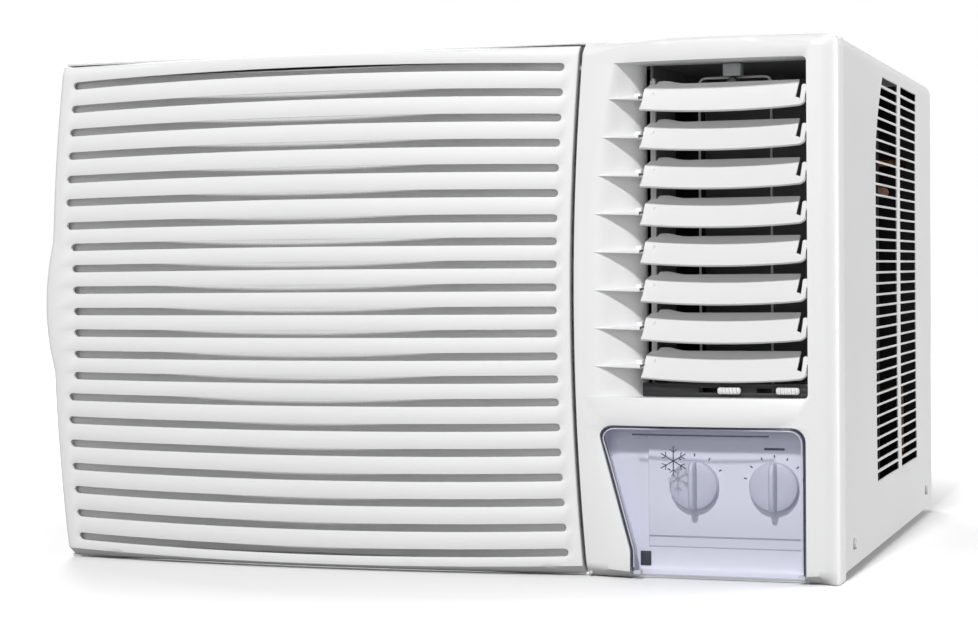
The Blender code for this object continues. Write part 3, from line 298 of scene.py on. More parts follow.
def bent(points, radius, steps=6):
    """A path with each inner corner replaced by an arc."""
    path = [Vector(p) for p in points]
    made = [path[0]]
    for before, here, after in zip(path, path[1:], path[2:]):
        to_before = (before - here).normalized()
        to_after = (after - here).normalized()
        reach = radius / math.tan(to_before.angle(to_after) / 2)
        start, end = here + to_before * reach, here + to_after * reach
        for k in range(steps + 1):
            t = k / steps
            made.append(start * (1 - t) ** 2 + here * (2 * t * (1 - t)) + end * t**2)
    return made + [path[-1]]


def fitted(piece, body, slot, material, *nodes):
    """The piece goes on its body with its finish, and stands for the given nodes."""
    piece.data.materials.clear()
    piece.data.materials.append(material)
    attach(piece, body)
    if nodes:
        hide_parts(*nodes)
    return piece


# -------- shader groups
def new_group(name, inputs, outputs):
    """A shader node group with named value or colour sockets."""
    made = bpy.data.node_groups.new(name, "ShaderNodeTree")
    for label, kind, value in inputs:
        socket = made.interface.new_socket(name=label, in_out="INPUT", socket_type=kind)
        socket.default_value = value
    for label, kind in outputs:
        made.interface.new_socket(name=label, in_out="OUTPUT", socket_type=kind)
    return made, made.nodes.new("NodeGroupInput"), made.nodes.new("NodeGroupOutput")


def reckoned(nodes, operation, *fixed):
    """A Math node with the given inputs fixed, each as its number and value."""
    made = nodes.new("ShaderNodeMath")
    made.operation = operation
    for number, value in fixed:
        made.inputs[number].default_value = value
    return made


def pattern(nodes, kind, **values):
    """A texture or mapping node with its inputs set by name."""
    made = nodes.new(kind)
    for label, value in values.items():
        made.inputs[label.replace("_", " ")].default_value = value
    return made


def moulded_grain_group():
    """Fine mould grain and a slow drift of shade."""
    group, given, out = new_group(
        "moulded_grain",
        [
            ("Colour", "NodeSocketColor", (0.8, 0.8, 0.8, 1)),
            ("Drift", "NodeSocketFloat", 0.02),
            ("Grain", "NodeSocketFloat", 1400.0),
            ("Roughness", "NodeSocketFloat", 0.4),
        ],
        [("Colour", "NodeSocketColor"), ("Roughness", "NodeSocketFloat"), ("Height", "NodeSocketFloat")],
    )
    nodes, link = group.nodes, group.links.new
    spot = nodes.new("ShaderNodeTexCoord")
    fine = pattern(nodes, "ShaderNodeTexNoise", Detail=2.0)
    slow = pattern(nodes, "ShaderNodeTexNoise", Scale=7.0, Detail=3.0)
    link(spot.outputs["Object"], fine.inputs["Vector"])
    link(spot.outputs["Object"], slow.inputs["Vector"])
    link(given.outputs["Grain"], fine.inputs["Scale"])
    centred = reckoned(nodes, "SUBTRACT", (1, 0.5))
    link(slow.outputs["Fac"], centred.inputs[0])
    scaled = reckoned(nodes, "MULTIPLY_ADD", (2, 1.0))
    link(centred.outputs[0], scaled.inputs[0])
    link(given.outputs["Drift"], scaled.inputs[1])
    tint = nodes.new("ShaderNodeHueSaturation")
    link(given.outputs["Colour"], tint.inputs["Color"])
    link(scaled.outputs[0], tint.inputs["Value"])
    link(tint.outputs["Color"], out.inputs["Colour"])
    rough = reckoned(nodes, "MULTIPLY_ADD", (1, 0.12))
    link(centred.outputs[0], rough.inputs[0])
    link(given.outputs["Roughness"], rough.inputs[2])
    link(rough.outputs[0], out.inputs["Roughness"])
    link(fine.outputs["Fac"], out.inputs["Height"])
    return group


def brushed_group():
    """Long faint streaks and blotches for bare or plated metal."""
    group, given, out = new_group(
        "rolled_metal",
        [
            ("Colour", "NodeSocketColor", (0.6, 0.6, 0.6, 1)),
            ("Streaks", "NodeSocketFloat", 60.0),
            ("Blotches", "NodeSocketFloat", 30.0),
            ("Roughness", "NodeSocketFloat", 0.4),
        ],
        [("Colour", "NodeSocketColor"), ("Roughness", "NodeSocketFloat"), ("Height", "NodeSocketFloat")],
    )
    nodes, link = group.nodes, group.links.new
    spot = nodes.new("ShaderNodeTexCoord")
    stretch = pattern(nodes, "ShaderNodeMapping", Scale=(1.0, 14.0, 14.0))
    link(spot.outputs["Object"], stretch.inputs["Vector"])
    streak = pattern(nodes, "ShaderNodeTexNoise", Detail=4.0)
    link(stretch.outputs["Vector"], streak.inputs["Vector"])
    link(given.outputs["Streaks"], streak.inputs["Scale"])
    blotch = nodes.new("ShaderNodeTexVoronoi")
    link(spot.outputs["Object"], blotch.inputs["Vector"])
    link(given.outputs["Blotches"], blotch.inputs["Scale"])
    shade = pattern(nodes, "ShaderNodeMapRange", To_Min=0.86, To_Max=1.08)
    link(blotch.outputs["Distance"], shade.inputs["Value"])
    tint = nodes.new("ShaderNodeHueSaturation")
    link(given.outputs["Colour"], tint.inputs["Color"])
    link(shade.outputs["Result"], tint.inputs["Value"])
    link(tint.outputs["Color"], out.inputs["Colour"])
    rough = reckoned(nodes, "MULTIPLY_ADD", (1, 0.25))
    link(streak.outputs["Fac"], rough.inputs[0])
    link(given.outputs["Roughness"], rough.inputs[2])
    link(rough.outputs[0], out.inputs["Roughness"])
    link(streak.outputs["Fac"], out.inputs["Height"])
    return group


GRAIN = moulded_grain_group()
ROLLED = brushed_group()


def finish_of(name, group, values, bump=0.05, bump_depth=0.0002, **shader_values):
    """A Principled material fed by one of the groups."""
    made = bpy.data.materials.new(name)
    made.use_nodes = True
    nodes, link = made.node_tree.nodes, made.node_tree.links.new
    shader = nodes["Principled BSDF"]
    effect = nodes.new("ShaderNodeGroup")
    effect.node_tree = group
    for label, value in values.items():
        effect.inputs[label].default_value = value
    link(effect.outputs["Colour"], shader.inputs["Base Color"])
    link(effect.outputs["Roughness"], shader.inputs["Roughness"])
    raised = pattern(nodes, "ShaderNodeBump", Strength=bump, Distance=bump_depth)
    link(effect.outputs["Height"], raised.inputs["Height"])
    link(raised.outputs["Normal"], shader.inputs["Normal"])
    for label, value in shader_values.items():
        shader.inputs[label.replace("_", " ")].default_value = value
    made.diffuse_color = values["Colour"]
    return made


def plastic(name, colour, roughness=0.38, drift=0.03, grain=1500.0, bump=0.06, **more):
    return finish_of(
        name,
        GRAIN,
        {"Colour": (*colour, 1), "Drift": drift, "Grain": grain, "Roughness": roughness},
        bump,
        **more,
    )


def metal(name, colour, roughness=0.3, streaks=60.0, blotches=40.0, bump=0.05, metallic=0.9, **more):
    return finish_of(
        name,
        ROLLED,
        {"Colour": (*colour, 1), "Streaks": streaks, "Blotches": blotches, "Roughness": roughness},
        bump,
        Metallic=metallic,
        **more,
    )


WHITE = plastic("white_moulding", (0.83, 0.83, 0.835))
# A darker copy of the white moulding for the louvres and levers: painted shade.
LOUVRE_WHITE = plastic("louvre_white", (0.75, 0.75, 0.75), roughness=0.33)
# The panel and knobs are tinted blue: painted colour of the light that comes through the smoked door.
PANEL_WHITE = plastic("panel_white", (0.80, 0.81, 0.91), roughness=0.45)
KNOB_GREY = plastic("knob_grey", (0.60, 0.615, 0.71), roughness=0.4)
GREY_PLASTIC = plastic("grey_moulding", (0.42, 0.43, 0.44), roughness=0.5)
BLACK = plastic("black_moulding", (0.016, 0.016, 0.018), roughness=0.5, drift=0.2)
# Grey lighter than the near-black duct: painted light for the dim inside of the outlet.
DUCT_DARK = plastic("duct_dark", (0.20, 0.20, 0.203), roughness=0.6, drift=0.2)
RUBBER = plastic("rubber_foot", (0.03, 0.03, 0.03), roughness=0.8, drift=0.3, bump=0.15)
FOAM = plastic("expanded_foam", (0.78, 0.78, 0.76), roughness=0.9, grain=500.0, bump=0.35)
ENAMEL = plastic("black_enamel", (0.02, 0.02, 0.022), roughness=0.28, drift=0.3, grain=300.0, bump=0.05)
CASE_PAINT = plastic("case_paint", (0.70, 0.70, 0.705), roughness=0.42, drift=0.03, grain=420.0, bump=0.10)
BAR_PAINT = plastic("bar_paint", (0.62, 0.62, 0.62), roughness=0.4, drift=0.05)
WIRE_PAINT = plastic("wire_paint", (0.50, 0.50, 0.50), roughness=0.35, drift=0.05)
ZINC = metal("zinc_sheet", (0.50, 0.51, 0.52), roughness=0.3)
# Zinc darkened to near black: painted shade for the parts inside the cabinet and for the bracket's screw.
ZINC_SHADE = metal("zinc_painted_shade", (0.12, 0.123, 0.126), roughness=0.45)
FIN = metal("fin_aluminium", (0.55, 0.56, 0.57), roughness=0.28, streaks=90.0)
# Copper darkened: painted shade for the coil bends seen through the side vents; the pipes take it too.
COPPER = metal("copper_pipe", (0.42, 0.20, 0.12), roughness=0.22, metallic=1.0)
PRINT = plastic("dark_print", (0.045, 0.055, 0.085), roughness=0.5, drift=0.1)


def smoke_finish(name, colour, alpha, roughness):
    made = plastic(name, colour, roughness=roughness, drift=0.02, bump=0.01)
    shader = made.node_tree.nodes["Principled BSDF"]
    shader.inputs["Alpha"].default_value = alpha
    return made


SMOKE = smoke_finish("smoked_cover", (0.22, 0.24, 0.42), 0.07, 0.08)
# Dark edge: painted shade along the smoked cover's edges, where light passes a long way through the tint.
# Pale edge: painted highlight for the cover's inner edge line; the hinges take it too.
SMOKE_EDGE = smoke_finish("smoked_cover_edge", (0.06, 0.065, 0.10), 0.75, 0.08)
CLEAR_EDGE = smoke_finish("clear_cover_edge", (0.85, 0.86, 0.92), 0.55, 0.06)


def net_finish():
    """Woven filter net: two crossed sets of threads, set lighter than the net's own colour as painted light
    for its place in the slots' shade.
    """
    made = bpy.data.materials.new("filter_weave")
    made.use_nodes = True
    nodes, link = made.node_tree.nodes, made.node_tree.links.new
    shader = nodes["Principled BSDF"]
    spot = nodes.new("ShaderNodeTexCoord")
    threads = []
    for direction in ("X", "Z"):
        band = pattern(nodes, "ShaderNodeTexWave", Scale=260.0)
        band.bands_direction = direction
        link(spot.outputs["Object"], band.inputs["Vector"])
        threads.append(band)
    both = reckoned(nodes, "MAXIMUM")
    link(threads[0].outputs["Fac"], both.inputs[0])
    link(threads[1].outputs["Fac"], both.inputs[1])
    shade = nodes.new("ShaderNodeMix")
    shade.data_type = "RGBA"
    shade.inputs["A"].default_value = (0.66, 0.66, 0.66, 1)
    shade.inputs["B"].default_value = (0.80, 0.80, 0.80, 1)
    link(both.outputs[0], shade.inputs["Factor"])
    link(shade.outputs["Result"], shader.inputs["Base Color"])
    raised = pattern(nodes, "ShaderNodeBump", Strength=0.3, Distance=0.0003)
    link(both.outputs[0], raised.inputs["Height"])
    link(raised.outputs["Normal"], shader.inputs["Normal"])
    shader.inputs["Roughness"].default_value = 0.8
    return made


NET = net_finish()


# -------- the front's shared curves
def swell(z):
    """0 at the top and bottom of the front and 1 half way up."""
    return 1 - ((z - MID_Z) / MID_Z) ** 2


def split_x(z):
    return SPLIT_X - GAP_BOW * swell(z)


def left_x(z):
    grip = max(0.0, 1 - ((z - 0.2140) / 0.0560) ** 2)
    return -HALF + 0.0010 - EDGE_BOW * swell(z) - GRIP_OUT * grip


def arch(t):
    """1 in the middle of a span and 0 at its ends."""
    return 1 - (2 * t - 1) ** 2


def grille_y(t):
    return -0.0010 - (BULGE_L - 0.0010) * arch(t)


def outlet_y(x):
    t = (x - SPLIT_X) / (HALF - SPLIT_X)
    return -0.0010 - (BULGE_R - 0.0010) * max(0.0, arch(min(1.0, max(0.0, t))))


def slot_z(k):
    middle = (SLOT_COUNT - 1) // 2
    outer = (SLOT_TOP_Z - SLOT_LOW_Z - 8 * SLOT_MID_PITCH) / (SLOT_COUNT - 9)
    from_mid = middle - k
    inner = max(-4, min(4, from_mid))
    return (SLOT_TOP_Z + SLOT_LOW_Z) / 2 + inner * SLOT_MID_PITCH + (from_mid - inner) * outer


def scoop_left(z):
    high = max(0.0, (z - 0.250) / 0.150)
    return 0.1316 + 0.0240 * high**1.9


def scoop_point(z, t):
    x0 = scoop_left(z) + 0.0004
    x = x0 + (OUT_DEEP_X - x0) * math.sin(t * math.pi / 2) ** 0.9
    return x, -0.0012 + 0.0290 * (1 - math.cos(t * math.pi / 2)) ** 0.8


def door_left(z):
    t = min(1.0, max(0.0, (z - 0.0230) / (DOOR_TOP - 0.0300)))
    return DOOR_LEFT_LOW + (DOOR_LEFT_TOP - DOOR_LEFT_LOW) * t


def round_inset(z, top, radius):
    """How far a rounded top corner has pulled in at this height."""
    rise = min(radius, max(0.0, z - (top - radius)))
    return radius - math.sqrt(max(0.0, radius**2 - rise**2))


# -------- intake grille
HALF_TURN = [math.radians(a) for a in (-90, -60, -30, 0, 30, 60, 90)]


def make_grille():
    """The slotted plate: the grid's rows follow each slot, and its end columns the slots' round ends."""
    rows = [
        ("rim", 0.0012, -1, 0), ("under", 0.0040, -1, 0), ("edge", 0.0085, -1, 0), ("face", 0.0112, -1, 0),
    ]
    for k in reversed(range(SLOT_COUNT)):
        for turn in HALF_TURN:
            rows.append(("slot", slot_z(k) + SLOT_H / 2 * math.sin(turn), k, turn))
    rows += [
        ("face", CASE_TOP - 0.0122, -2, 0),
        ("edge", CASE_TOP - 0.0095, -2, 0),
        ("over", CASE_TOP - 0.0065, -2, 0),
        ("rim", CASE_TOP - 0.0040, -2, 0),
    ]
    main = 22
    radius = 0.0032
    wrap = [math.radians(a) for a in (90, 60, 30, 0)]

    def row_points(kind, level, k, turn):
        grip = max(0.0, 1 - (abs(k - 10) / 4.2) ** 2) * 0.0157 if k >= 0 else 0.0
        left = left_x(level)
        right = split_x(level) - SPLIT_GAP
        end = SLOT_H / 2 * (1 - math.cos(turn)) if k >= 0 else SLOT_H / 2
        inner_left = left + 0.0133 + grip + end
        inner_right = right - 0.0103 - end
        spots = [(left, None)] + [
            (left + radius * (1 - math.sin(a)), radius * (1 - math.cos(a))) for a in wrap
        ]
        spots += [(left + 0.0085, 0.0)]
        spots += [(inner_left + (inner_right - inner_left) * c / main, 0.0) for c in range(main + 1)]
        spots += [(right - 0.0045, 0.0)]
        spots += [(right - 0.0010 * (1 - math.sin(a)), 0.0010 * (1 - math.cos(a))) for a in reversed(wrap)]
        spots += [(right, None)]
        made = []
        for c, (x, back) in enumerate(spots):
            t = min(1.0, max(0.0, (x - left) / (right - left)))
            y = grille_y(t)
            z = level
            if kind == "slot":
                z += SLOT_ARC * (level - MID_Z) / (SLOT_TOP_Z - MID_Z) * arch(t)
            elif k == -2:
                z += {"face": 0.0060, "edge": 0.0060, "over": 0.0040, "rim": 0.0016}[kind] * arch(t)
                y += {
                    "face": 0.0, "edge": 0.0002, "over": 0.0032, "rim": 0.0078,
                }[kind] * (0.25 + 0.75 * arch(t))
            else:
                z -= {"face": 0.0040, "edge": 0.0040, "under": 0.0022, "rim": 0.0}[kind] * arch(t)
                y += {"face": 0.0, "edge": 0.0003, "under": 0.0062, "rim": 0.0104}[kind]
            if back is None:
                y = 0.0090 if c == 0 else y + 0.0055
            else:
                y += back
            made.append((x, y, z))
        return made

    table = [row_points(*row) for row in rows]
    holes = []
    for r, row in enumerate(rows[:-1]):
        if row[0] == "slot" and rows[r + 1][2] == row[2]:
            holes += [(c, r) for c in range(6, 6 + main)]
    piece = sheet("intake_grille_shell", len(table[0]) - 1, len(table) - 1, lambda i, j: table[j][i], holes)
    thickened(piece, 0.0025, even=False)
    eased(piece, 0.0005, 2, 50)
    return smoothed(piece, 40)


fitted(make_grille(), "grille", "white_plastic", WHITE, "intake_grille")


# -------- outlet side's face with its scooped wall
CORNER = [math.radians(a) for a in (0, 18, 36, 54, 72, 90)]
OUT_ROUND = 0.0035
MAIN = 10


def face_levels():
    """Heights of the face's rows, each with what it crosses."""
    made = [
        (0.0004, "rim"),
        (0.0035, "under"),
        (0.0085, "edge"),
        (0.0120, "door"),
        (0.0230, "door"),
        (0.0450, "door"),
        (0.0700, "door"),
        (0.0900, "door"),
    ]
    base = DOOR_TOP - DOOR_ROUND
    made += [(base + DOOR_ROUND * math.sin(a), "door") for a in CORNER]
    made += [(0.1290, "band")]
    made += [(OUT_LOW + OUT_ROUND * (1 - math.cos(a)), "outlet") for a in CORNER]
    made += [
        (z, "outlet")
        for z in (0.165, 0.185, 0.205, 0.225, 0.245, 0.265, 0.285, 0.305, 0.325, 0.345, 0.365, 0.385)
    ]
    made += [(OUT_TOP - OUT_ROUND * (1 - math.sin(a)), "outlet") for a in CORNER]
    made += [
        (CASE_TOP - 0.0130, "face_top"),
        (CASE_TOP - 0.0100, "edge_top"),
        (CASE_TOP - 0.0060, "over"),
        (CASE_TOP - 0.0015, "rim_top"),
    ]
    return made


LEVELS = face_levels()


def outlet_inset(z):
    return max(round_inset(z, OUT_TOP, OUT_ROUND), round_inset(2 * OUT_LOW - z, OUT_LOW, OUT_ROUND))


def opening_at(z, kind):
    """Left and right edges of whatever opening this height crosses."""
    if kind in ("rim", "under", "edge", "door"):
        inset = round_inset(z, DOOR_TOP, DOOR_ROUND)
        return door_left(z) + inset, DOOR_RIGHT - inset
    if kind == "outlet":
        return scoop_left(z), OUT_RIGHT - outlet_inset(z)
    if kind == "band":
        a0, a1 = opening_at(DOOR_TOP, "door")
        b0, b1 = opening_at(OUT_LOW, "outlet")
        return (a0 + b0) / 2, (a1 + b1) / 2
    a0, a1 = opening_at(OUT_TOP, "outlet")
    return a0, a1


RIM_A = 0.0150
RIM_B = 0.0085


def face_row(z, kind):
    start = split_x(z)
    c1, c2 = opening_at(z, kind)
    spots = [
        (start, 0.0060),
        (start + 0.0004, 0.0010),
        (start + 0.0007, 0.0003),
        (start + 0.0014, 0.0),
        (start + (c1 - start) * 0.5 + 0.0003, 0.0),
    ]
    spots += [(c1 + (c2 - c1) * k / MAIN, 0.0) for k in range(MAIN + 1)]
    turn_x = HALF - RIM_A
    spots += [((c2 + turn_x) / 2, 0.0)]
    for a in (0, 15, 30, 45, 60, 75, 90):
        turn = math.radians(a)
        spots.append((turn_x + RIM_A * math.sin(turn), RIM_B * (1 - math.cos(turn))))
    spots.append((HALF, FRONT_D + RIM_A))
    made = []
    for n, (x, back) in enumerate(spots):
        t = min(1.0, max(0.0, (x - SPLIT_X) / (HALF - SPLIT_X)))
        y = (outlet_y(x) if SPLIT_X < x < turn_x else (outlet_y(turn_x) if x >= turn_x else -0.0010)) + back
        level = z
        if kind == "edge":
            level -= 0.0040 * arch(t)
        elif kind in ("edge_top", "face_top"):
            level += 0.0060 * arch(t)
        elif kind == "over":
            level += 0.0044 * arch(t)
        y += {
            "rim": 0.0098, "under": 0.0058, "edge": 0.0002, "over": 0.0030, "rim_top": 0.0080,
        }.get(kind, 0.0) * (1 if n < len(spots) - 8 else max(0.0, 1 - (n - len(spots) + 8) / 4))
        if n == len(spots) - 1:
            y = FRONT_D
        aside, above = x - (HALF - CASE_ROUND), level - (CASE_TOP - CASE_ROUND)
        if aside > 0 and above > 0 and math.hypot(aside, above) > CASE_ROUND:
            pull = CASE_ROUND / math.hypot(aside, above)
            x, level = HALF - CASE_ROUND + aside * pull, CASE_TOP - CASE_ROUND + above * pull
        made.append((x, y, level))
    return made


def make_face():
    table = [face_row(z, kind) for z, kind in LEVELS]
    first = 5
    holes = []
    for r in range(len(LEVELS) - 1):
        kinds = {LEVELS[r][1], LEVELS[r + 1][1]}
        if kinds <= {"rim", "under", "edge", "door"} or kinds == {"outlet"}:
            holes += [(c, r) for c in range(first, first + MAIN)]
    plate = sheet("face", len(table[0]) - 1, len(table) - 1, lambda i, j: table[j][i], holes)
    outlet_rows = [z for z, kind in LEVELS if kind == "outlet"]
    steps = 14

    def scoop(i, j):
        z = outlet_rows[j]
        if i == 0:
            x = scoop_left(z)
            return x, outlet_y(x), z
        if i > steps:
            x, _y = scoop_point(z, 1.0)
            return x, FRONT_D, z
        x, y = scoop_point(z, i / steps)
        near = max(0.0, 1 - 3 * i / steps)
        return x, y + (outlet_y(x) + 0.0012) * near, z

    wall = sheet("scoop", steps + 1, len(outlet_rows) - 1, scoop)
    piece = joined("outlet_face", [plate, wall])
    welded(piece, 2e-5)
    thickened(piece, 0.0022)
    eased(piece, 0.0006, 2, 50)
    return smoothed(piece, 40)


fitted(make_face(), "case", "white_plastic", WHITE, "front_frame")


def throat(name, outline, front, back, thick=0.0016):
    """A strip of wall running back from the edge of an opening."""
    depth = 4
    piece = sheet(
        name,
        len(outline) - 1,
        depth,
        lambda i, j: (
            outline[i][0], front(*outline[i]) + (back - front(*outline[i])) * j / depth, outline[i][1],
        ),
    )
    thickened(piece, thick, -1.0)
    return smoothed(piece, 40)


outlet_outline = [(0.1330 + (OUT_RIGHT - OUT_ROUND - 0.1330) * k / 12, OUT_LOW) for k in range(12)]
for a in CORNER:
    outlet_outline.append(
        (OUT_RIGHT - OUT_ROUND * (1 - math.sin(a)), OUT_LOW + OUT_ROUND * (1 - math.cos(a))),
    )
for a in CORNER:
    outlet_outline.append(
        (OUT_RIGHT - OUT_ROUND * (1 - math.cos(a)), OUT_TOP - OUT_ROUND * (1 - math.sin(a))),
    )
outlet_outline += [
    (OUT_RIGHT - OUT_ROUND - (OUT_RIGHT - OUT_ROUND - 0.1560) * k / 12, OUT_TOP) for k in range(1, 13)
]
fitted(
    throat("outlet_throat", outlet_outline, lambda x, _z: outlet_y(x) + 0.0007, FRONT_D),
    "case",
    "white_plastic",
    WHITE,
)



def foot_back(z):
    """How far the front's lower edge has rolled back at this height."""
    if z < 0.0035:
        return 0.0058 + 0.0040 * (0.0035 - z) / 0.0031
    return 0.0056 * max(0.0, 0.0085 - z) / 0.0050


door_outline = [(door_left(z), z) for z in (0.0004, 0.0035, 0.0085, 0.0230, 0.0450, 0.0700, 0.0900)]
for a in CORNER:
    z = DOOR_TOP - DOOR_ROUND * (1 - math.sin(a))
    door_outline.append((door_left(z) + DOOR_ROUND * (1 - math.cos(a)), z))
for a in reversed(CORNER):
    door_outline.append(
        (DOOR_RIGHT - DOOR_ROUND * (1 - math.cos(a)), DOOR_TOP - DOOR_ROUND * (1 - math.sin(a))),
    )
door_outline += [(DOOR_RIGHT, z) for z in (0.0900, 0.0500, 0.0085, 0.0035, 0.0004)]
recess_wall = throat(
    "control_recess",
    list(reversed(door_outline)),
    lambda x,
    z: outlet_y(x) + 0.0007 + foot_back(z),
    PANEL_Y + 0.0020,
)
fitted(recess_wall, "case", "white_plastic", PANEL_WHITE)


def make_rim():
    """The front's outer wall: a rounded outline pulled back from the face, open at both ends."""
    nothing_selected()
    bpy.ops.mesh.primitive_plane_add(
        size=1, location=ZERO + Vector((0, 0.0085, MID_Z)), rotation=(math.pi / 2, 0, 0)
    )
    piece = bpy.context.object
    piece.scale = (2 * HALF - 0.0002, CASE_TOP - 0.0002, 1)
    only(piece)
    bpy.ops.object.transform_apply(location=True, rotation=True, scale=True)

    def steps():
        bpy.ops.mesh.bevel(offset=CASE_ROUND, segments=8, affect="VERTICES")
        bpy.ops.mesh.delete(type="ONLY_FACE")
        bpy.ops.mesh.select_all(action="SELECT")
        bpy.ops.mesh.extrude_region_move(TRANSFORM_OT_translate={"value": (0, FRONT_D - 0.0085, 0)})
        bpy.ops.mesh.select_all(action="SELECT")
        bpy.ops.mesh.normals_make_consistent(inside=False)

    edit(piece, steps)
    thickened(piece, 0.0022)
    eased(piece, 0.0006, 2, 50)
    return smoothed(piece, 40)


rim = make_rim()
rim.name = rim.data.name = "front_rim"
fitted(rim, "case", "white_plastic", WHITE)

top_lip = block(
    "front_top_lip",
    -HALF + 0.0040,
    SPLIT_X - 0.0005,
    0.0012,
    0.0100,
    CASE_TOP - 0.0026,
    CASE_TOP - 0.0002,
    0.0008,
)
spigot = HALF - 0.0017
pieces = [
    block("a", -spigot, spigot, FRONT_D - 0.0030, FRONT_D + 0.0110, CASE_TOP - 0.0040, CASE_TOP - 0.0020),
    block("b", -spigot, -spigot + 0.0020, FRONT_D - 0.0030, FRONT_D + 0.0110, 0.0095, CASE_TOP - 0.0060),
    block("c", spigot - 0.0020, spigot, FRONT_D - 0.0030, FRONT_D + 0.0110, 0.0095, CASE_TOP - 0.0060),
    block("d", -HALF + 0.0030, HALF - 0.0030, 0.0260, 0.0290, 0.0010, 0.0110),
    block("e", 0.1120, 0.1145, 0.0200, FRONT_D, 0.0010, CASE_TOP - 0.0010),
    block("f", 0.1120, 0.1340, 0.0200, 0.0225, 0.0010, CASE_TOP - 0.0010),
    block("g", 0.1322, 0.1345, 0.0028, 0.0225, 0.0020, OUT_LOW - 0.0020),
    block("h", 0.1322, 0.1345, 0.0125, 0.0225, OUT_LOW - 0.0020, CASE_TOP - 0.0060),
]
fitted(joined("front_inner_walls", pieces), "case", "white_plastic", WHITE)
fitted(top_lip, "case", "white_plastic", WHITE)


# -------- ribs on the scooped wall
LOUVRE_Z = [LOUVRE_FIRST_Z - k * LOUVRE_PITCH for k in range(8)]


def make_rib(name, z):
    """A thin wedge that spans the scooped wall, sharp at its left end and thickest beside its louvre."""
    steps = 14
    start_x, _y = scoop_point(z, 0.03)
    end_x = OUT_DEEP_X + 0.0022

    def place(i, j):
        t = i / steps
        wall_x, wall_y = scoop_point(z, 0.03 + 0.97 * t)
        front_x = start_x + (end_x - start_x) * t
        half = 0.00015 + 0.0018 * t**0.9
        if j in (1, 2):
            return front_x, outlet_y(front_x) + 0.0009 + 0.0006 * t, z + (
                half * 0.7 if j == 1 else -half * 0.7
            )
        back_x = wall_x - 0.0008 + (0.0008 + end_x - wall_x) * t**4
        return back_x, wall_y + 0.0008 - 0.0100 * t**4, z + (-half if j == 3 else half)

    piece = sheet(name, steps, 4, place)

    def close():
        bpy.ops.mesh.select_all(action="SELECT")
        bpy.ops.mesh.remove_doubles(threshold=1e-6)
        bpy.ops.mesh.select_all(action="DESELECT")
        bpy.ops.mesh.select_non_manifold()
        bpy.ops.mesh.fill()
        bpy.ops.mesh.select_all(action="SELECT")
        bpy.ops.mesh.normals_make_consistent(inside=False)

    edit(piece, close)
    eased(piece, 0.0003, 2, 40)
    return smoothed(piece, 40)


for k, z in enumerate(LOUVRE_Z):
    fitted(make_rib(f"scoop_rib_{k + 1}", z - RIB_DROP), "case", "white_plastic", WHITE)

bosses = [
    block(
        f"boss_{k}",
        OUT_DEEP_X - 0.0045,
        OUT_DEEP_X + 0.0002,
        LOUVRE_Y - 0.0020,
        0.0213,
        z - 0.0030,
        z + 0.0024,
        0.0006,
    )
    for k, z in enumerate(LOUVRE_Z)
]
fitted(joined("pivot_bosses", bosses), "case", "white_plastic", WHITE)


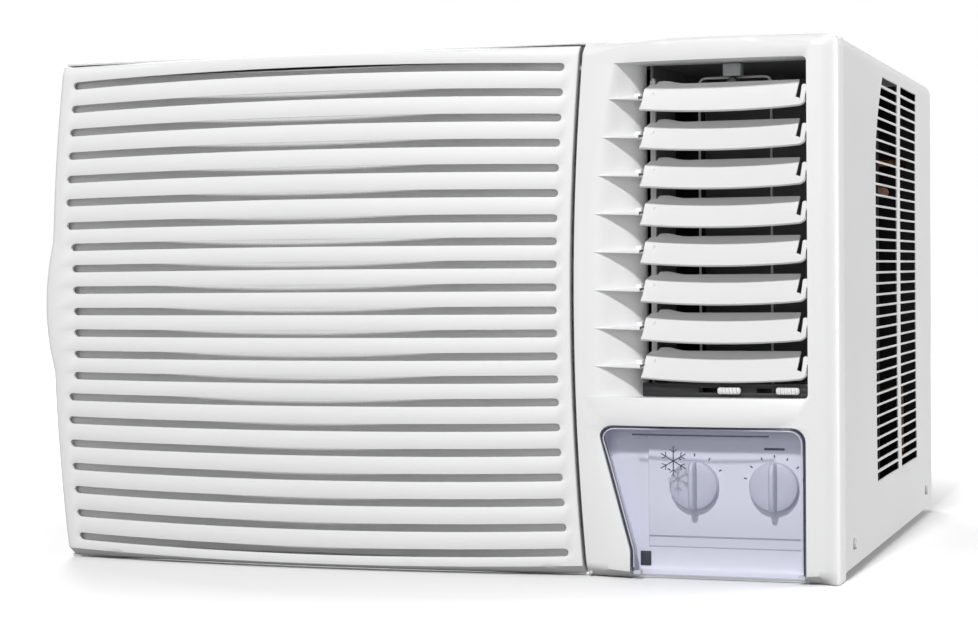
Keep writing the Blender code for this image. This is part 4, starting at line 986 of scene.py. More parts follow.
# -------- louvres
def make_louvre():
    """The top blade: a tilted plate with an ear on its upper edge and a slit that frees its pin tongue."""
    z0 = LOUVRE_Z[0]
    length = LOUVRE_X1 - LOUVRE_X0
    slit_x0, slit_x1 = LOUVRE_X1 - 0.0061, LOUVRE_X1 - 0.0036
    corner = 0.0045
    tongue_top = 0.0068
    marks = (
        -0.0010,
        0.0006,
        0.0018,
        0.0030,
        0.0055,
        0.0078,
        0.0082,
        0.0092,
        0.0110,
        0.0140,
        0.0175,
        0.0200,
        0.0230,
        0.0260,
        0.0290,
        0.0320,
    )
    xs = [LOUVRE_X0 + d for d in marks]
    xs += [xs[-1] + (slit_x0 - xs[-1]) * k / 14 for k in range(1, 15)]
    slit_col = len(xs) - 1
    xs += [slit_x1, slit_x1 + 0.0006, slit_x1 + 0.0014, slit_x1 + 0.0024, LOUVRE_X1 - 0.0005, LOUVRE_X1]
    rows = [0.0, 0.05, 0.12, 0.22, 0.34, 0.46, 0.58, 0.70, 0.80, 0.90, 0.96, 1.0]
    up = Vector((0, math.sin(LOUVRE_TILT), math.cos(LOUVRE_TILT)))
    out = Vector((0, -math.cos(LOUVRE_TILT), math.sin(LOUVRE_TILT)))

    def ear(along):
        """The raised part of the upper edge near the left end."""
        if along < 0.0078:
            return 0.0
        if along < 0.0092:
            return 0.0030 * (along - 0.0078) / 0.0014
        if along < 0.0185:
            return 0.0030 + 0.0006 * math.sin(math.pi * (along - 0.0092) / 0.0093)
        return 0.0030 * max(0.0, (0.0310 - along) / 0.0125) ** 1.5

    def place(i, j):
        x = xs[i]
        t = min(1.0, max(0.0, (x - LOUVRE_X0) / length))
        share = rows[j]
        low = LOUVRE_LOW - 0.0035 * arch(t)
        high = LOUVRE_HIGH + ear(x - LOUVRE_X0)
        if x < LOUVRE_X0 + 0.0030:
            high -= 0.0052 * (1 - max(0.0, (x - LOUVRE_X0 + 0.0010)) / 0.0040)
        if i > slit_col:
            over = max(0.0, x - (LOUVRE_X1 - corner))
            low += corner - math.sqrt(max(0.0, corner**2 - over**2))
            side = min(1.0, abs(x - (slit_x1 + LOUVRE_X1) / 2) / ((LOUVRE_X1 - slit_x1) / 2))
            high = tongue_top - 0.0014 * (1 - math.sqrt(max(0.0, 1 - side**2)))
        reach = low + (high - low) * share
        bow = 0.0006 * arch(share)
        if i == slit_col:
            x -= 0.0016 * (1 - share)
        elif i == 0:
            x -= 0.0006 * (1 - share)
        return Vector((x, LOUVRE_Y, z0)) + up * reach + out * (0.0011 - bow)

    holes = [(slit_col, j) for j in range(4, len(rows) - 1)]
    piece = sheet("blade", len(xs) - 1, len(rows) - 1, place, holes)
    thickened(piece, 0.0021)
    eased(piece, 0.0007, 3, 50)
    smoothed(piece, 40)
    pin_left = turned(
        "pin_l",
        (OUT_DEEP_X - 0.0035, LOUVRE_Y, z0),
        "X",
        [(0, 0), (0.0012, 0), (0.0016, 0.0004), (0.0016, 0.0036), (0, 0.0036)],
        16,
    )
    pin_right = turned(
        "pin_r",
        (LOUVRE_X1 - 0.0008, LOUVRE_Y, z0),
        "X",
        [(0, 0), (0.0016, 0), (0.0016, 0.0040), (0.0012, 0.0044), (0, 0.0044)],
        16,
    )
    arm = sheet(
        "arm",
        8,
        1,
        lambda i, j: (
            TIE_X + (0.0022 if j else 0.0040),
            LOUVRE_Y - 0.0008 + (ARM + 0.0026) * i / 8,
            z0 + 0.0030 - 0.0012 * i / 8,
        ),
    )
    edit(arm, lambda: bpy.ops.mesh.extrude_region_move(TRANSFORM_OT_translate={"value": (0, 0, -0.0040)}))
    welded(arm, 1e-6, outward=True)
    eased(arm, 0.0003, 2, 50)
    smoothed(arm, 40)
    link_pin = turned(
        "link",
        (TIE_X - 0.0020, LOUVRE_Y + ARM, z0),
        "X",
        [(0, 0), (0.0012, 0), (0.0012, 0.0050), (0, 0.0050)],
        14,
    )
    return joined("louvre_blade_1", [piece, pin_left, pin_right, arm, link_pin])


first_louvre = make_louvre()
for k in range(8):
    blade = first_louvre if k == 0 else copied(
        first_louvre, f"louvre_blade_{k + 1}", (0, 0, LOUVRE_Z[k] - LOUVRE_Z[0])
    )
    fitted(blade, f"louvre_{k + 1}", "white_plastic", LOUVRE_WHITE, f"louvre_{k + 1}")

# -------- link bar, wire guard, bracket
tie_y = LOUVRE_Y + ARM
bar = block(
    "bar",
    TIE_X - 0.0012,
    TIE_X + 0.0012,
    tie_y - 0.0040,
    tie_y + 0.0040,
    LOUVRE_Z[-1] - 0.0060,
    LOUVRE_Z[0] + TIE_RISE,
    0.0010,
    3,
)
rib = (
    block(
        "rib_f",
        TIE_X - 0.0021,
        TIE_X + 0.0021,
        tie_y - 0.0040,
        tie_y - 0.0031,
        LOUVRE_Z[-1] - 0.0050,
        LOUVRE_Z[0] + TIE_RISE - 0.0020,
        0.0003,
    )
)
fitted(joined("louvre_link", [bar, rib]), "tie_bar", "painted_steel", BAR_PAINT, "louvre_tie_bar")

guard_top = OUT_TOP - 0.0105
guard_run = bent(
    [
        (GUARD_X0, GUARD_Y, OUT_LOW + 0.0020),
        (GUARD_X0, GUARD_Y, guard_top),
        (GUARD_X1, GUARD_Y, guard_top),
        (GUARD_X1, GUARD_Y, OUT_LOW + 0.0020),
    ],
    0.0060,
    10,
)
fitted(wire("guard_wire", guard_run, 0.0010, 12), "case", "painted_steel", WIRE_PAINT, "wire_guard")

tab = block(
    "duct_tab",
    SCREW_X - 0.0070,
    SCREW_X + 0.0070,
    0.0235,
    GUARD_Y - 0.0025,
    guard_top,
    OUT_TOP - 0.0007,
    0.0008,
)
fitted(tab, "case", "grey_plastic", GREY_PLASTIC, "duct_bracket")
screw_profile = [
    (0, 0),
    (0.0022, 0.0),
    (0.0034, 0.0006),
    (0.0040, 0.0018),
    (0.0040, 0.0050),
    (0.0024, 0.0056),
    (0.0024, 0.0128),
    (0, 0.0128),
]
fitted(
    turned("tab_screw", (SCREW_X, 0.0240, OUT_TOP - 0.0148), "Y", screw_profile, 24),
    "case",
    "zinc_steel",
    ZINC_SHADE,
    "bracket_screw",
)

# -------- vent levers and their black strip
strip_low, strip_high = OUT_LOW + 0.0004, OUT_LOW + 0.0110
strip_y = 0.0060
strip = [
    block(
        "s0",
        OUT_DEEP_X + 0.0010,
        OUT_RIGHT - 0.0006,
        strip_y,
        strip_y + 0.0016,
        strip_low,
        LEVER_Z - 0.0018,
        0.0003,
    ),
]
strip.append(
    block(
        "s1",
        OUT_DEEP_X + 0.0010,
        OUT_RIGHT - 0.0006,
        strip_y,
        strip_y + 0.0016,
        LEVER_Z + 0.0018,
        strip_high,
        0.0003,
    ),
)
edges = [OUT_DEEP_X + 0.0010]
for x in LEVER_X:
    edges += [x - 0.0245, x + 0.0045]
edges.append(OUT_RIGHT - 0.0006)
for a, b in zip(edges[::2], edges[1::2]):
    if b - a > 0.0012:
        strip.append(
            block("s2", a, b, strip_y, strip_y + 0.0016, LEVER_Z - 0.0022, LEVER_Z + 0.0022, 0.0003),
        )
fitted(joined("lever_strip", strip), "case", "black_plastic", BLACK, "lever_plate")


def make_lever(x):
    """A slider cap with rounded ends and five raised grip ridges, on its stem."""
    y = strip_y
    cap = block(
        "cap", x - 0.0092, x + 0.0092, y - 0.0048, y - 0.0006, LEVER_Z - 0.0027, LEVER_Z + 0.0027, 0.0020, 5
    )
    parts = [
        cap,
        block("stem", x - 0.0040, x + 0.0040, y - 0.0020, y + 0.0095, LEVER_Z - 0.0011, LEVER_Z + 0.0011),
    ]
    for k in range(5):
        rib_x = x - 0.0056 + 0.0028 * k
        parts.append(
            block(
                "ridge",
                rib_x - 0.0007,
                rib_x + 0.0007,
                y - 0.0060,
                y - 0.0040,
                LEVER_Z - 0.0024,
                LEVER_Z + 0.0024,
                0.0005,
                2,
            ),
        )
    return joined("lever", parts)


for x, body, node in zip(
    LEVER_X, ("fresh_air_slider", "exhaust_slider"), ("fresh_air_lever", "exhaust_lever")
):
    lever = make_lever(x)
    lever.name = lever.data.name = node + "_cap"
    fitted(lever, body, "white_plastic", LOUVRE_WHITE, node)

# -------- control panel
panel_x1 = DOOR_RIGHT - 0.0006


def panel_plate():
    """The recessed panel: a sheet with a raised right part and a stepped lower part."""
    xs = [0.1360, 0.1560, 0.1771, 0.1780, 0.2000, 0.2400, 0.2800, panel_x1]
    zs = [
        0.0036,
        0.0042,
        0.0060,
        0.0100,
        0.0180,
        0.0235,
        0.0245,
        0.0320,
        0.0330,
        0.0600,
        0.0900,
        DOOR_TOP - 0.0006,
    ]
    ledge = (0.0085, 0.0050, 0.0014)

    def place(i, j):
        x, z = xs[i], zs[j]
        y = PANEL_Y
        if j < len(ledge):
            y -= ledge[j]
        if i >= 3:
            y -= 0.0030 if j >= 8 else 0.0012 if j >= 6 else 0.0
        return x, y, z

    piece = sheet("panel", len(xs) - 1, len(zs) - 1, place)
    thickened(piece, 0.0018)
    eased(piece, 0.0004, 2, 40)
    return smoothed(piece, 35)


panel_face = PANEL_Y - 0.0030
fitted(panel_plate(), "case", "white_plastic", PANEL_WHITE, "control_panel")
# A black block in the door's hinge opening: painted shade for the dark gap behind it.
pocket = block("hinge_pocket", 0.1706, 0.1790, PANEL_Y - 0.0016, PANEL_Y - 0.0002, 0.0088, 0.0200, 0.0003)
fitted(pocket, "case", "black_plastic", BLACK)


def make_knob(x):
    """A round knob with a soft rim and a raised bar grip across it."""
    face = panel_face
    r = KNOB_R - 0.0008
    disc = turned(
        "disc",
        (x, face, KNOB_Z),
        "Y",
        [
            (0, -0.0068),
            (r * 0.55, -0.0068),
            (r * 0.86, -0.0064),
            (r * 0.96, -0.0056),
            (r, -0.0042),
            (r, -0.0005),
            (0, -0.0005),
        ],
        64,
    )
    steps = 16

    def grip(i, j):
        z = KNOB_Z + (KNOB_R - 0.0014) * (2 * i / steps - 1)
        along = abs(2 * i / steps - 1)
        tall = 0.0150 - 0.0035 * along**3
        wide = 0.0034 - 0.0004 * along**4
        across = [
            (-wide, -0.0040),
            (-wide * 0.92, -tall * 0.55),
            (-wide * 0.72, -tall * 0.90),
            (-wide * 0.36, -tall),
            (wide * 0.36, -tall),
            (wide * 0.72, -tall * 0.90),
            (wide * 0.92, -tall * 0.55),
            (wide, -0.0040),
        ]
        return x + across[j][0], face + across[j][1], z

    bar = sheet("grip", steps, 7, grip)

    def close():
        bpy.ops.mesh.select_all(action="DESELECT")
        bpy.ops.mesh.select_non_manifold()
        bpy.ops.mesh.fill()
        bpy.ops.mesh.select_all(action="SELECT")
        bpy.ops.mesh.normals_make_consistent(inside=False)

    edit(bar, close)
    eased(bar, 0.0004, 2, 50)
    smoothed(bar, 45)
    stem = turned(
        "stem", (x, face, KNOB_Z), "Y", [(0, -0.001), (0.0030, -0.001), (0.0030, 0.0148), (0, 0.0148)], 20
    )
    return joined("knob", [disc, bar, stem])


for x, body, node in zip(KNOB_X, ("selector", "thermostat_dial"), ("selector_knob", "thermostat_knob")):
    knob = make_knob(x)
    knob.name = knob.data.name = node + "_cap"
    fitted(knob, body, "white_plastic", KNOB_GREY, node)

marks = []
for x, angles in zip(KNOB_X, ((-60, -30, 0, 30, 60), (-75, -50, -25, 0, 25, 50, 75))):
    for angle in angles:
        turn = math.radians(angle)
        radius = KNOB_R + 0.0036
        cx, cz = x + radius * math.sin(turn), KNOB_Z + radius * math.cos(turn)
        mark = block(
            "mark", -0.0005, 0.0005, panel_face - 0.0002, panel_face + 0.0002, -0.0012, 0.0012, 0.0001, 1
        )
        for corner in mark.data.vertices:
            px, pz = corner.co.x - ZERO.x, corner.co.z - ZERO.z
            corner.co.x = ZERO.x + cx + px * math.cos(turn) + pz * math.sin(turn)
            corner.co.z = ZERO.z + cz - px * math.sin(turn) + pz * math.cos(turn)
        marks.append(mark)
marks.append(
    block(
        "pointer",
        KNOB_X[1] - 0.0080,
        KNOB_X[1] + 0.0080,
        panel_face - 0.0003,
        panel_face + 0.0002,
        0.1012,
        0.1030,
        0.0001,
        1,
    ),
)
fitted(joined("dial_marks", marks), "case", "black_plastic", PRINT)


# -------- clear door
def door_edge(z):
    inset = round_inset(z, DOOR_TOP - 0.0008, DOOR_ROUND - 0.0008)
    return door_left(z) + 0.0008 + inset, DOOR_RIGHT - 0.0008 - inset


def make_door():
    top, radius = DOOR_TOP - 0.0008, DOOR_ROUND - 0.0008
    zs = [
        0.0010, 0.0040, 0.0085, 0.0120, 0.0230, 0.0450, 0.0700, 0.0900,
    ] + [top - radius * (1 - math.sin(a)) for a in CORNER]
    cols = 18

    def place(i, j):
        z = zs[j]
        x0, x1 = door_edge(z)
        x = x0 + (x1 - x0) * i / cols
        y = outlet_y(x)
        if j == 0:
            y += 0.0052
            z += 0.0028 * (1 - arch(i / cols))
        elif j == 1:
            y += 0.0020
            z += 0.0012 * (1 - arch(i / cols))
        if j == 2:
            z -= 0.0030 * arch(i / cols)
        return x, y, z

    piece = sheet("clear_door_plate", cols, len(zs) - 1, place)
    thickened(piece, 0.0022)
    eased(piece, 0.0005, 3, 50)
    return smoothed(piece, 40)


fitted(make_door(), "door", "smoked_clear", SMOKE, "control_door")


def make_door_skirt():
    """The door's edge flange: a narrow wall behind the plate's left, top and right sides."""
    top, radius = DOOR_TOP - 0.0010, DOOR_ROUND - 0.0010
    spots = [(door_edge(z)[0] + 0.0003, z) for z in (0.0060, 0.0230, 0.0500, 0.0800)]
    for a in CORNER:
        z = top - radius * (1 - math.sin(a))
        spots.append((door_edge(z)[0] + 0.0003, z))
    for a in reversed(CORNER):
        z = top - radius * (1 - math.sin(a))
        spots.append((door_edge(z)[1] - 0.0003, z))
    spots += [(door_edge(z)[1] - 0.0003, z) for z in (0.0800, 0.0500, 0.0230, 0.0060)]
    piece = sheet(
        "clear_door_skirt",
        len(spots) - 1,
        2,
        lambda i,
        j: (spots[i][0], outlet_y(spots[i][0]) + 0.0018 + 0.0048 * j / 2, spots[i][1]),
    )
    thickened(piece, 0.0014, -1.0)
    return smoothed(piece, 40)


# The flange's dark colour is painted shade along the door's edge.
fitted(make_door_skirt(), "door", "smoked_clear", SMOKE_EDGE)


def door_bead(name, inset, radius, low=0.0100):
    """A thin raised line that follows the door's left, top and right edges."""
    top, curve = DOOR_TOP - 0.0008, DOOR_ROUND - 0.0008
    left = [(door_edge(z)[0], z) for z in (low, 0.0230, 0.0450, 0.0700, 0.0900)]
    left += [
        (door_edge(top - curve * (1 - math.sin(a)))[0], top - curve * (1 - math.sin(a))) for a in CORNER
    ]
    right = [(door_edge(z)[1], z) for _x, z in reversed(left)]
    middle_x, middle_z = 0.2250, 0.0600
    spots = []
    for x, z in left + right:
        toward = Vector((middle_x - x, 0, middle_z - z))
        flat = Vector((1 if x < middle_x else -1, 0, 0)) if z < top - curve else toward.normalized()
        x, z = x + flat.x * inset, z + flat.z * inset
        spots.append((x, outlet_y(x) - radius * 0.2, z))
    return wire(name, spots, radius, 8)


# The outer line carries painted shade and the inner line a painted highlight.
fitted(door_bead("clear_door_edge_line", 0.0006, 0.0006), "door", "smoked_clear", SMOKE_EDGE)
fitted(door_bead("clear_door_inner_line", 0.0026, 0.0006), "door", "smoked_clear", CLEAR_EDGE)
lip_x0, lip_x1 = 0.1700, 0.2780
lip = sheet(
    "clear_door_lip",
    20,
    1,
    lambda i, j: (
        lip_x0 + (lip_x1 - lip_x0) * i / 20,
        outlet_y(lip_x0 + (lip_x1 - lip_x0) * i / 20) - 0.0004,
        0.1128 + 0.0012 * j,
    ),
)
thickened(lip, 0.0008)
# The lip's dark colour is painted shade under the door's top edge.
fitted(smoothed(lip, 40), "door", "smoked_clear", SMOKE_EDGE)
hinge = [
    block("lug_l", 0.1700, 0.1760, -0.0060, 0.0016, 0.0039, 0.0071, 0.0006),
    block("lug_r", 0.2990, 0.3046, -0.0040, 0.0016, 0.0039, 0.0071, 0.0006),
    turned(
        "hinge_l",
        (DOOR_LEFT_LOW - 0.0030, 0.0, 0.0055),
        "X",
        [(0, 0), (0.0012, 0), (0.0012, 0.0106), (0, 0.0106)],
        14,
    ),
    turned("hinge_r", (0.3000, 0.0, 0.0055), "X", [(0, 0), (0.0012, 0), (0.0012, 0.0076), (0, 0.0076)], 14),
]
fitted(joined("clear_door_hinges", hinge), "door", "smoked_clear", CLEAR_EDGE)


def make_star(cx, cz, size):
    """A plain six-armed snow star printed on the door."""
    parts = []
    for arm_no in range(6):
        turn = math.radians(60 * arm_no)
        for x0, x1, z0, z1, lean in (
            (-0.035, 0.035, 0.0, 1.0, 0), (-0.03, 0.03, 0.0, 0.32, 50), (-0.03, 0.03, 0.0, 0.32, -50),
        ):
            bit = block("bit", x0 * size, x1 * size, -0.0001, 0.0001, z0 * size, z1 * size, 0.00004, 1)
            tilt = math.radians(lean)
            base = 0.58 * size if lean else 0.0
            for corner in bit.data.vertices:
                px, pz = corner.co.x - ZERO.x, corner.co.z - ZERO.z
                px, pz = px * math.cos(
                    tilt,
                ) + pz * math.sin(tilt), -px * math.sin(tilt) + pz * math.cos(tilt) + base
                x = cx + px * math.cos(turn) + pz * math.sin(turn)
                z = cz - px * math.sin(turn) + pz * math.cos(turn)
                corner.co.x, corner.co.z = ZERO.x + x, ZERO.z + z
                corner.co.y = ZERO.y + outlet_y(x) - 0.00022 + (corner.co.y - ZERO.y)
            parts.append(bit)
    return joined("snow_star", parts)


fitted(make_star(STAR_X, STAR_Z, STAR_SIZE), "door", "black_plastic", PRINT)


# -------- cabinet sheet
RECESS_Z = (VENT_LOW + VENT_LOW + (VENT_ROWS - 1) * VENT_PITCH + VENT_H) / 2
RECESS_H = (VENT_ROWS - 1) * VENT_PITCH / 2 + VENT_H


def recess(y, z):
    """How far the pressed vent field lies in from the sheet."""
    if not 0.1860 < y < 0.4600:
        return 0.0
    tall = max(0.0, 1 - (abs(z - RECESS_Z) / RECESS_H) ** 4)
    deep = 0.0009
    if y < 0.1905:
        deep *= (y - 0.1860) / 0.0045
    elif y > 0.4420:
        deep *= max(0.0, (0.4600 - y) / 0.0180)
    return deep * tall


def side_levels():
    """Heights up one side, and which of them open into a vent row."""
    made = [(CASE_LOW, None), (0.0300, None), (0.0500, None)]
    for k in range(VENT_ROWS):
        low = VENT_LOW + k * VENT_PITCH
        made += [(low - (VENT_PITCH - VENT_H) / 2, "lip"), (low, k), (low + VENT_H, None)]
    made += [(VENT_LOW + VENT_ROWS * VENT_PITCH - (VENT_PITCH - VENT_H) / 2, "lip")]
    return made


def make_case():
    """One sheet folded up the left side, over the top and down the right side."""
    levels = side_levels()
    run = [(-1, z, tag) for z, tag in levels]
    turn_from = CASE_TOP - CASE_ROUND
    over = []
    for a in (0, 15, 30, 45, 60, 75, 90):
        turn = math.radians(a)
        over.append((HALF - CASE_ROUND * (1 - math.cos(turn)), turn_from + CASE_ROUND * math.sin(turn)))
    top_x = over[-1][0]
    path = [(-HALF, z, tag) for _s, z, tag in run]
    path += [(-x, z, None) for x, z in over]
    path += [(-top_x + 2 * top_x * k / 10, CASE_TOP, None) for k in range(1, 10)]
    path += [(x, z, None) for x, z in reversed(over)]
    side_start = len(path)
    path += [(HALF, z, tag) for _s, z, tag in reversed(run)]
    ys = [
        FRONT_D,
        0.0600,
        0.1200,
        0.1700,
        0.1860,
        0.1882,
        0.1905,
        VENT_COLS[0][0],
        0.2150,
        0.2400,
        0.2700,
        0.3000,
        VENT_COLS[0][1],
        VENT_COLS[1][0],
        0.3650,
        0.3900,
        0.4200,
        VENT_COLS[1][1],
        0.4480,
        0.4600,
        0.5000,
        DEPTH,
    ]
    first = ys.index(VENT_COLS[0][0])
    gap = ys.index(VENT_COLS[0][1])
    last = ys.index(VENT_COLS[1][1])

    vent_top = VENT_LOW + VENT_ROWS * VENT_PITCH
    round_tall, round_deep, round_end = 8 * VENT_PITCH, 0.0384, 0.2700

    def place(i, j):
        x, z, tag = path[i]
        y = ys[j]
        if abs(abs(x) - HALF) < 1e-9:
            if VENT_COLS[0][0] <= y < round_end:
                near_top = min(1.0, max(0.0, 1 - (vent_top - z) / round_tall))
                y += round_deep * near_top**1.8 * (round_end - y) / (round_end - VENT_COLS[0][0])
            inward = recess(y, z)
            if tag == "lip" and first <= j <= last and j not in (gap, gap + 1, first, last):
                inward -= 0.0009
            x -= math.copysign(inward, x)
        return x, y, z

    holes = []
    for i in range(len(path) - 1):
        tag = path[i][2] if i < side_start else path[i + 1][2]
        if isinstance(tag, int):
            holes += [(i, j) for j in range(first, last) if j != gap]
    piece = sheet("case_sheet", len(path) - 1, len(ys) - 1, place, holes)
    thickened(piece, 0.0011)
    eased(piece, 0.0002, 1, 60)
    return smoothed(piece, 30)


case_sheet = make_case()
fitted(case_sheet, "case", "painted_steel", CASE_PAINT, "cabinet")


def make_rear_flange():
    """The sheet's turned-in rear edge on both sides and the top."""
    inset = 0.0120
    outer = [(-HALF + 0.0003, CASE_LOW)] + [(-HALF + 0.0003, 0.2)]
    for a in (0, 22, 45, 67, 90):
        turn = math.radians(a)
        outer.append(
            (
                -(HALF - 0.0003) + CASE_ROUND * (1 - math.cos(turn)),
                CASE_TOP - 0.0003 - CASE_ROUND + CASE_ROUND * math.sin(turn),
            ),
        )
    outer += [(-x, z) for x, z in reversed(outer)]

    def inner(x, z):
        return math.copysign(min(abs(x), HALF - inset), x), min(z, CASE_TOP - inset)

    def place(i, j):
        x, z = outer[i]
        if j:
            x, z = inner(x, z)
        return x, DEPTH - 0.0013, z

    piece = sheet("case_rear_flange", len(outer) - 1, 1, place)
    welded(piece, 1e-6)
    thickened(piece, 0.0011, 1.0)
    return smoothed(piece, 40)


fitted(make_rear_flange(), "case", "painted_steel", CASE_PAINT)


# -------- coils with real fins
def make_coil(name, node, fins):
    """Thin fins on rows of tube with hairpin bends, between two end plates."""
    low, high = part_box(node)
    x0, x1 = low.x - ZERO.x + 0.0160, high.x - ZERO.x - 0.0160
    y0, y1 = low.y - ZERO.y, high.y - ZERO.y
    z0, z1 = low.z, high.z
    pitch = (x1 - x0) / fins
    fin = block("fin", x0, x0 + 0.00035, y0, y1, z0, z1, 0.00005, 1)
    modified(
        fin,
        "ARRAY",
        count=fins,
        use_relative_offset=False,
        use_constant_offset=True,
        constant_offset_displace=(pitch, 0, 0),
    )
    pieces = [fin]
    for x in (x0 - 0.0014, x1):
        pieces.append(block("end", x, x + 0.0014, y0, y1, z0, z1, 0.0002, 1))
    coil = joined(name, pieces)
    rows = 8
    tubes = []
    for k in range(rows):
        z = z0 + (z1 - z0) * (k + 0.5) / rows
        half = (z1 - z0) / rows * 0.22
        for end, out in ((x0, -0.0120), (x1, 0.0120)):
            mid = (y0 + y1) / 2
            run = bent(
                [
                    (end - out * 0.3, mid, z - half),
                    (end + out, mid, z - half),
                    (end + out, mid, z + half),
                    (end - out * 0.3, mid, z + half),
                ],
                0.0060,
                4,
            )
            tubes.append(wire("bend", run, 0.0040, 8))
        tubes.append(
            wire("tube", [(x0, (y0 + y1) / 2, z - half), (x1, (y0 + y1) / 2, z - half)], 0.0036, 8),
        )
        tubes.append(
            wire("tube", [(x0, (y0 + y1) / 2, z + half), (x1, (y0 + y1) / 2, z + half)], 0.0036, 8),
        )
    return coil, joined(name + "_tubes", tubes)


for name, node, fins in (
    ("condenser_fins", "condenser_coil", CONDENSER_FINS),
    ("evaporator_fins", "evaporator_coil", EVAPORATOR_FINS),
):
    coil, tubes = make_coil(name, node, fins)
    fitted(coil, "case", "aluminium_fin", FIN, node)
    fitted(tubes, "case", "copper", COPPER)

# Black sheets beside the fan shroud close the gap to the cabinet sides; their black is painted shade inside
# the cabinet.
low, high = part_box("fan_shroud")
wing_y = high.y - ZERO.y - 0.0200
for side in (-1, 1):
    edge_x, wall_x = high.x - ZERO.x - 0.0010, HALF - 0.0022
    x0, x1 = sorted((side * edge_x, side * wall_x))
    wing = block(
        "shroud_wing_" + ("right" if side > 0 else "left"),
        x0,
        x1,
        wing_y,
        wing_y + 0.0020,
        0.0110,
        CASE_TOP - 0.0060,
        0.0006,
    )
    fitted(wing, "case", "black_plastic", BLACK)

# -------- finishes of the carried-over pieces
CARRIED = {
    # Bar grey for the filter frame: painted light on its shaded edge behind the slots' left ends.
    "air_filter_frame": BAR_PAINT,
    "air_filter_net": NET,
    "discharge_duct": DUCT_DARK,
    "selector_switch": BLACK,
    "thermostat": ZINC_SHADE,
    "control_box": ZINC_SHADE,
    "run_capacitor": FIN,
    "base_pan": ZINC,
    "bulkhead": ZINC_SHADE,
    "fresh_air_damper": GREY_PLASTIC,
    "exhaust_damper": GREY_PLASTIC,
    "drip_tray": FOAM,
    "compressor": ENAMEL,
    "accumulator": ENAMEL,
    "suction_pipe": COPPER,
    "discharge_pipe": COPPER,
    "capillary_tube": COPPER,
    "condenser_fan": BLACK,
    "blower_wheel": BLACK,
    # Black for the shroud: painted shade inside the cabinet.
    "fan_shroud": BLACK,
    "fan_motor": ENAMEL,
    "motor_bracket": ZINC_SHADE,
    "fan_shaft": ZINC,
}
CARRIED.update({f"cabinet_screw_{k}": CASE_PAINT for k in range(1, 5)})
FALLBACK = {
    "white_plastic": WHITE,
    "grey_plastic": GREY_PLASTIC,
    "black_plastic": BLACK,
    "painted_steel": CASE_PAINT,
    "zinc_steel": ZINC,
    "aluminium_fin": FIN,
    "copper": COPPER,
    "black_enamel": ENAMEL,
    "rubber": RUBBER,
    "white_foam": FOAM,
    "smoked_clear": SMOKE,
    "filter_net": NET,
}
slot_of = {}
for entry in frame["record"].get("materials", []):
    for node in entry.get("nodes", []):
        slot_of[node] = entry["slot"]
for name, node in NODES.items():
    made = CARRIED.get(name) or FALLBACK.get(slot_of.get(name), BLACK)
    for spot in node.material_slots:
        spot.material = made

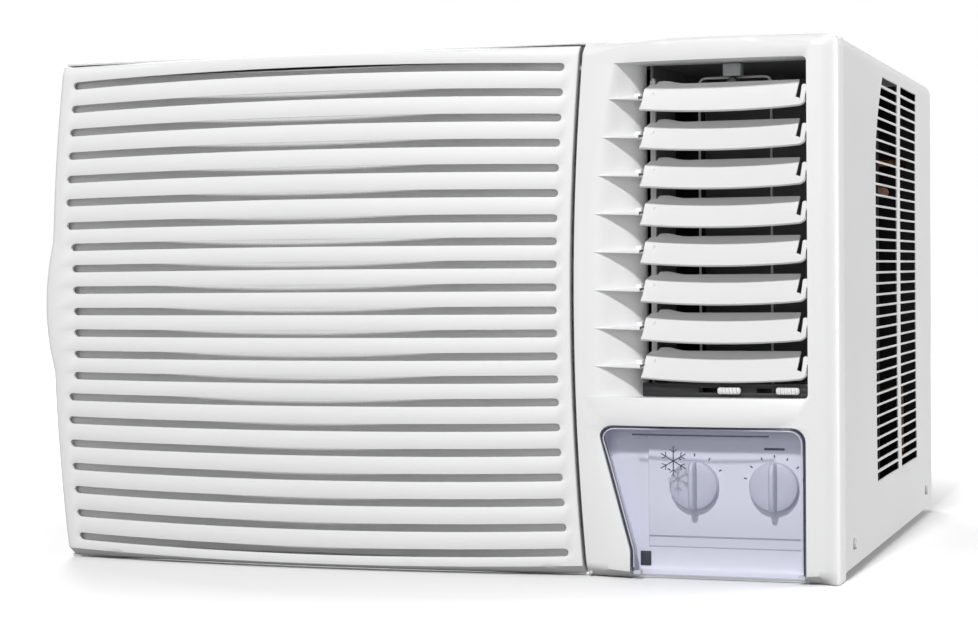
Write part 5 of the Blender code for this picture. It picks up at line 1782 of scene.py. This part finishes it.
# -------- floor, light and camera
def floor_finish():
    """A pale paper sweep, white further out, that keeps the object's own shadow."""
    made = plastic("pale_floor", (0.95, 0.95, 0.95), roughness=0.6, drift=0.01, bump=0.0)
    nodes, link = made.node_tree.nodes, made.node_tree.links.new
    shader = nodes["Principled BSDF"]
    shader.inputs["Specular IOR Level"].default_value = 0.1
    shader.inputs["Emission Color"].default_value = (1, 1, 1, 1)
    seen = nodes.new("ShaderNodeLightPath")
    glow = reckoned(nodes, "MULTIPLY")
    spot = nodes.new("ShaderNodeTexCoord")
    far = nodes.new("ShaderNodeVectorMath")
    far.operation = "LENGTH"
    link(spot.outputs["Object"], far.inputs[0])
    fade = pattern(
        nodes, "ShaderNodeMapRange", From_Min=FLOOR_NEAR, From_Max=FLOOR_FAR, To_Min=0.0, To_Max=1.0
    )
    link(far.outputs["Value"], fade.inputs["Value"])
    link(fade.outputs["Result"], glow.inputs[1])
    link(seen.outputs["Is Camera Ray"], glow.inputs[0])
    link(glow.outputs[0], shader.inputs["Emission Strength"])
    effect = [n for n in nodes if n.type == "GROUP"][0]
    pick = nodes.new("ShaderNodeMix")
    pick.data_type = "RGBA"
    pick.inputs["A"].default_value = (FLOOR_BOUNCE, FLOOR_BOUNCE, FLOOR_BOUNCE, 1)
    link(seen.outputs["Is Camera Ray"], pick.inputs["Factor"])
    link(effect.outputs["Colour"], pick.inputs["B"])
    link(pick.outputs["Result"], shader.inputs["Base Color"])
    return made


nothing_selected()
bpy.ops.mesh.primitive_plane_add(size=14, location=(0, 0, -0.0002))
floor = bpy.context.object
floor.name = "floor"
floor.data.materials.append(floor_finish())

world = bpy.data.worlds.new("studio")
world.use_nodes = True
sky = world.node_tree
sky_out = sky.nodes["World Output"]
fill = sky.nodes["Background"]
fill.inputs["Color"].default_value = (1, 1, 1, 1)
fill.inputs["Strength"].default_value = FILL
backdrop = sky.nodes.new("ShaderNodeBackground")
backdrop.inputs["Color"].default_value = (1, 1, 1, 1)
backdrop.inputs["Strength"].default_value = 1.0
seen = sky.nodes.new("ShaderNodeLightPath")
either = sky.nodes.new("ShaderNodeMixShader")
sky.links.new(seen.outputs["Is Camera Ray"], either.inputs["Fac"])
sky.links.new(fill.outputs["Background"], either.inputs[1])
sky.links.new(backdrop.outputs["Background"], either.inputs[2])
sky.links.new(either.outputs["Shader"], sky_out.inputs["Surface"])
bpy.context.scene.world = world


def soft_light(name, spot, size, power):
    """A square soft box aimed at the object's middle."""
    data = bpy.data.lights.new(name, "AREA")
    data.energy = power
    data.size = size
    lamp = bpy.data.objects.new(name, data)
    lamp.location = spot
    lamp.rotation_euler = (Vector((0, 0, 0.2)) - Vector(spot)).to_track_quat("-Z", "Y").to_euler()
    bpy.context.scene.collection.objects.link(lamp)
    return lamp


soft_light("key_box", (0.25, -3.60, 3.28), 0.32, KEY)
soft_light("front_box", (0.10, -4.40, 1.10), 2.4, FRONT)
soft_light("side_box", (3.2, 0.9, 1.0), 1.6, SIDE)
soft_light("back_box", (-2.0, 3.6, 2.2), 2.0, BACK)

camera = bpy.data.objects.new("camera", bpy.data.cameras.new("camera"))
camera.location = ZERO + Vector((0.608782, -1.65035, 0.24289))
camera.rotation_euler = [math.radians(a) for a in (88.7442, 0.5070, 18.6583)]
camera.data.lens = 80.4385
camera.data.sensor_width = 36
bpy.context.scene.collection.objects.link(camera)
bpy.context.scene.camera = camera
bpy.context.scene.view_settings.view_transform = "Standard"
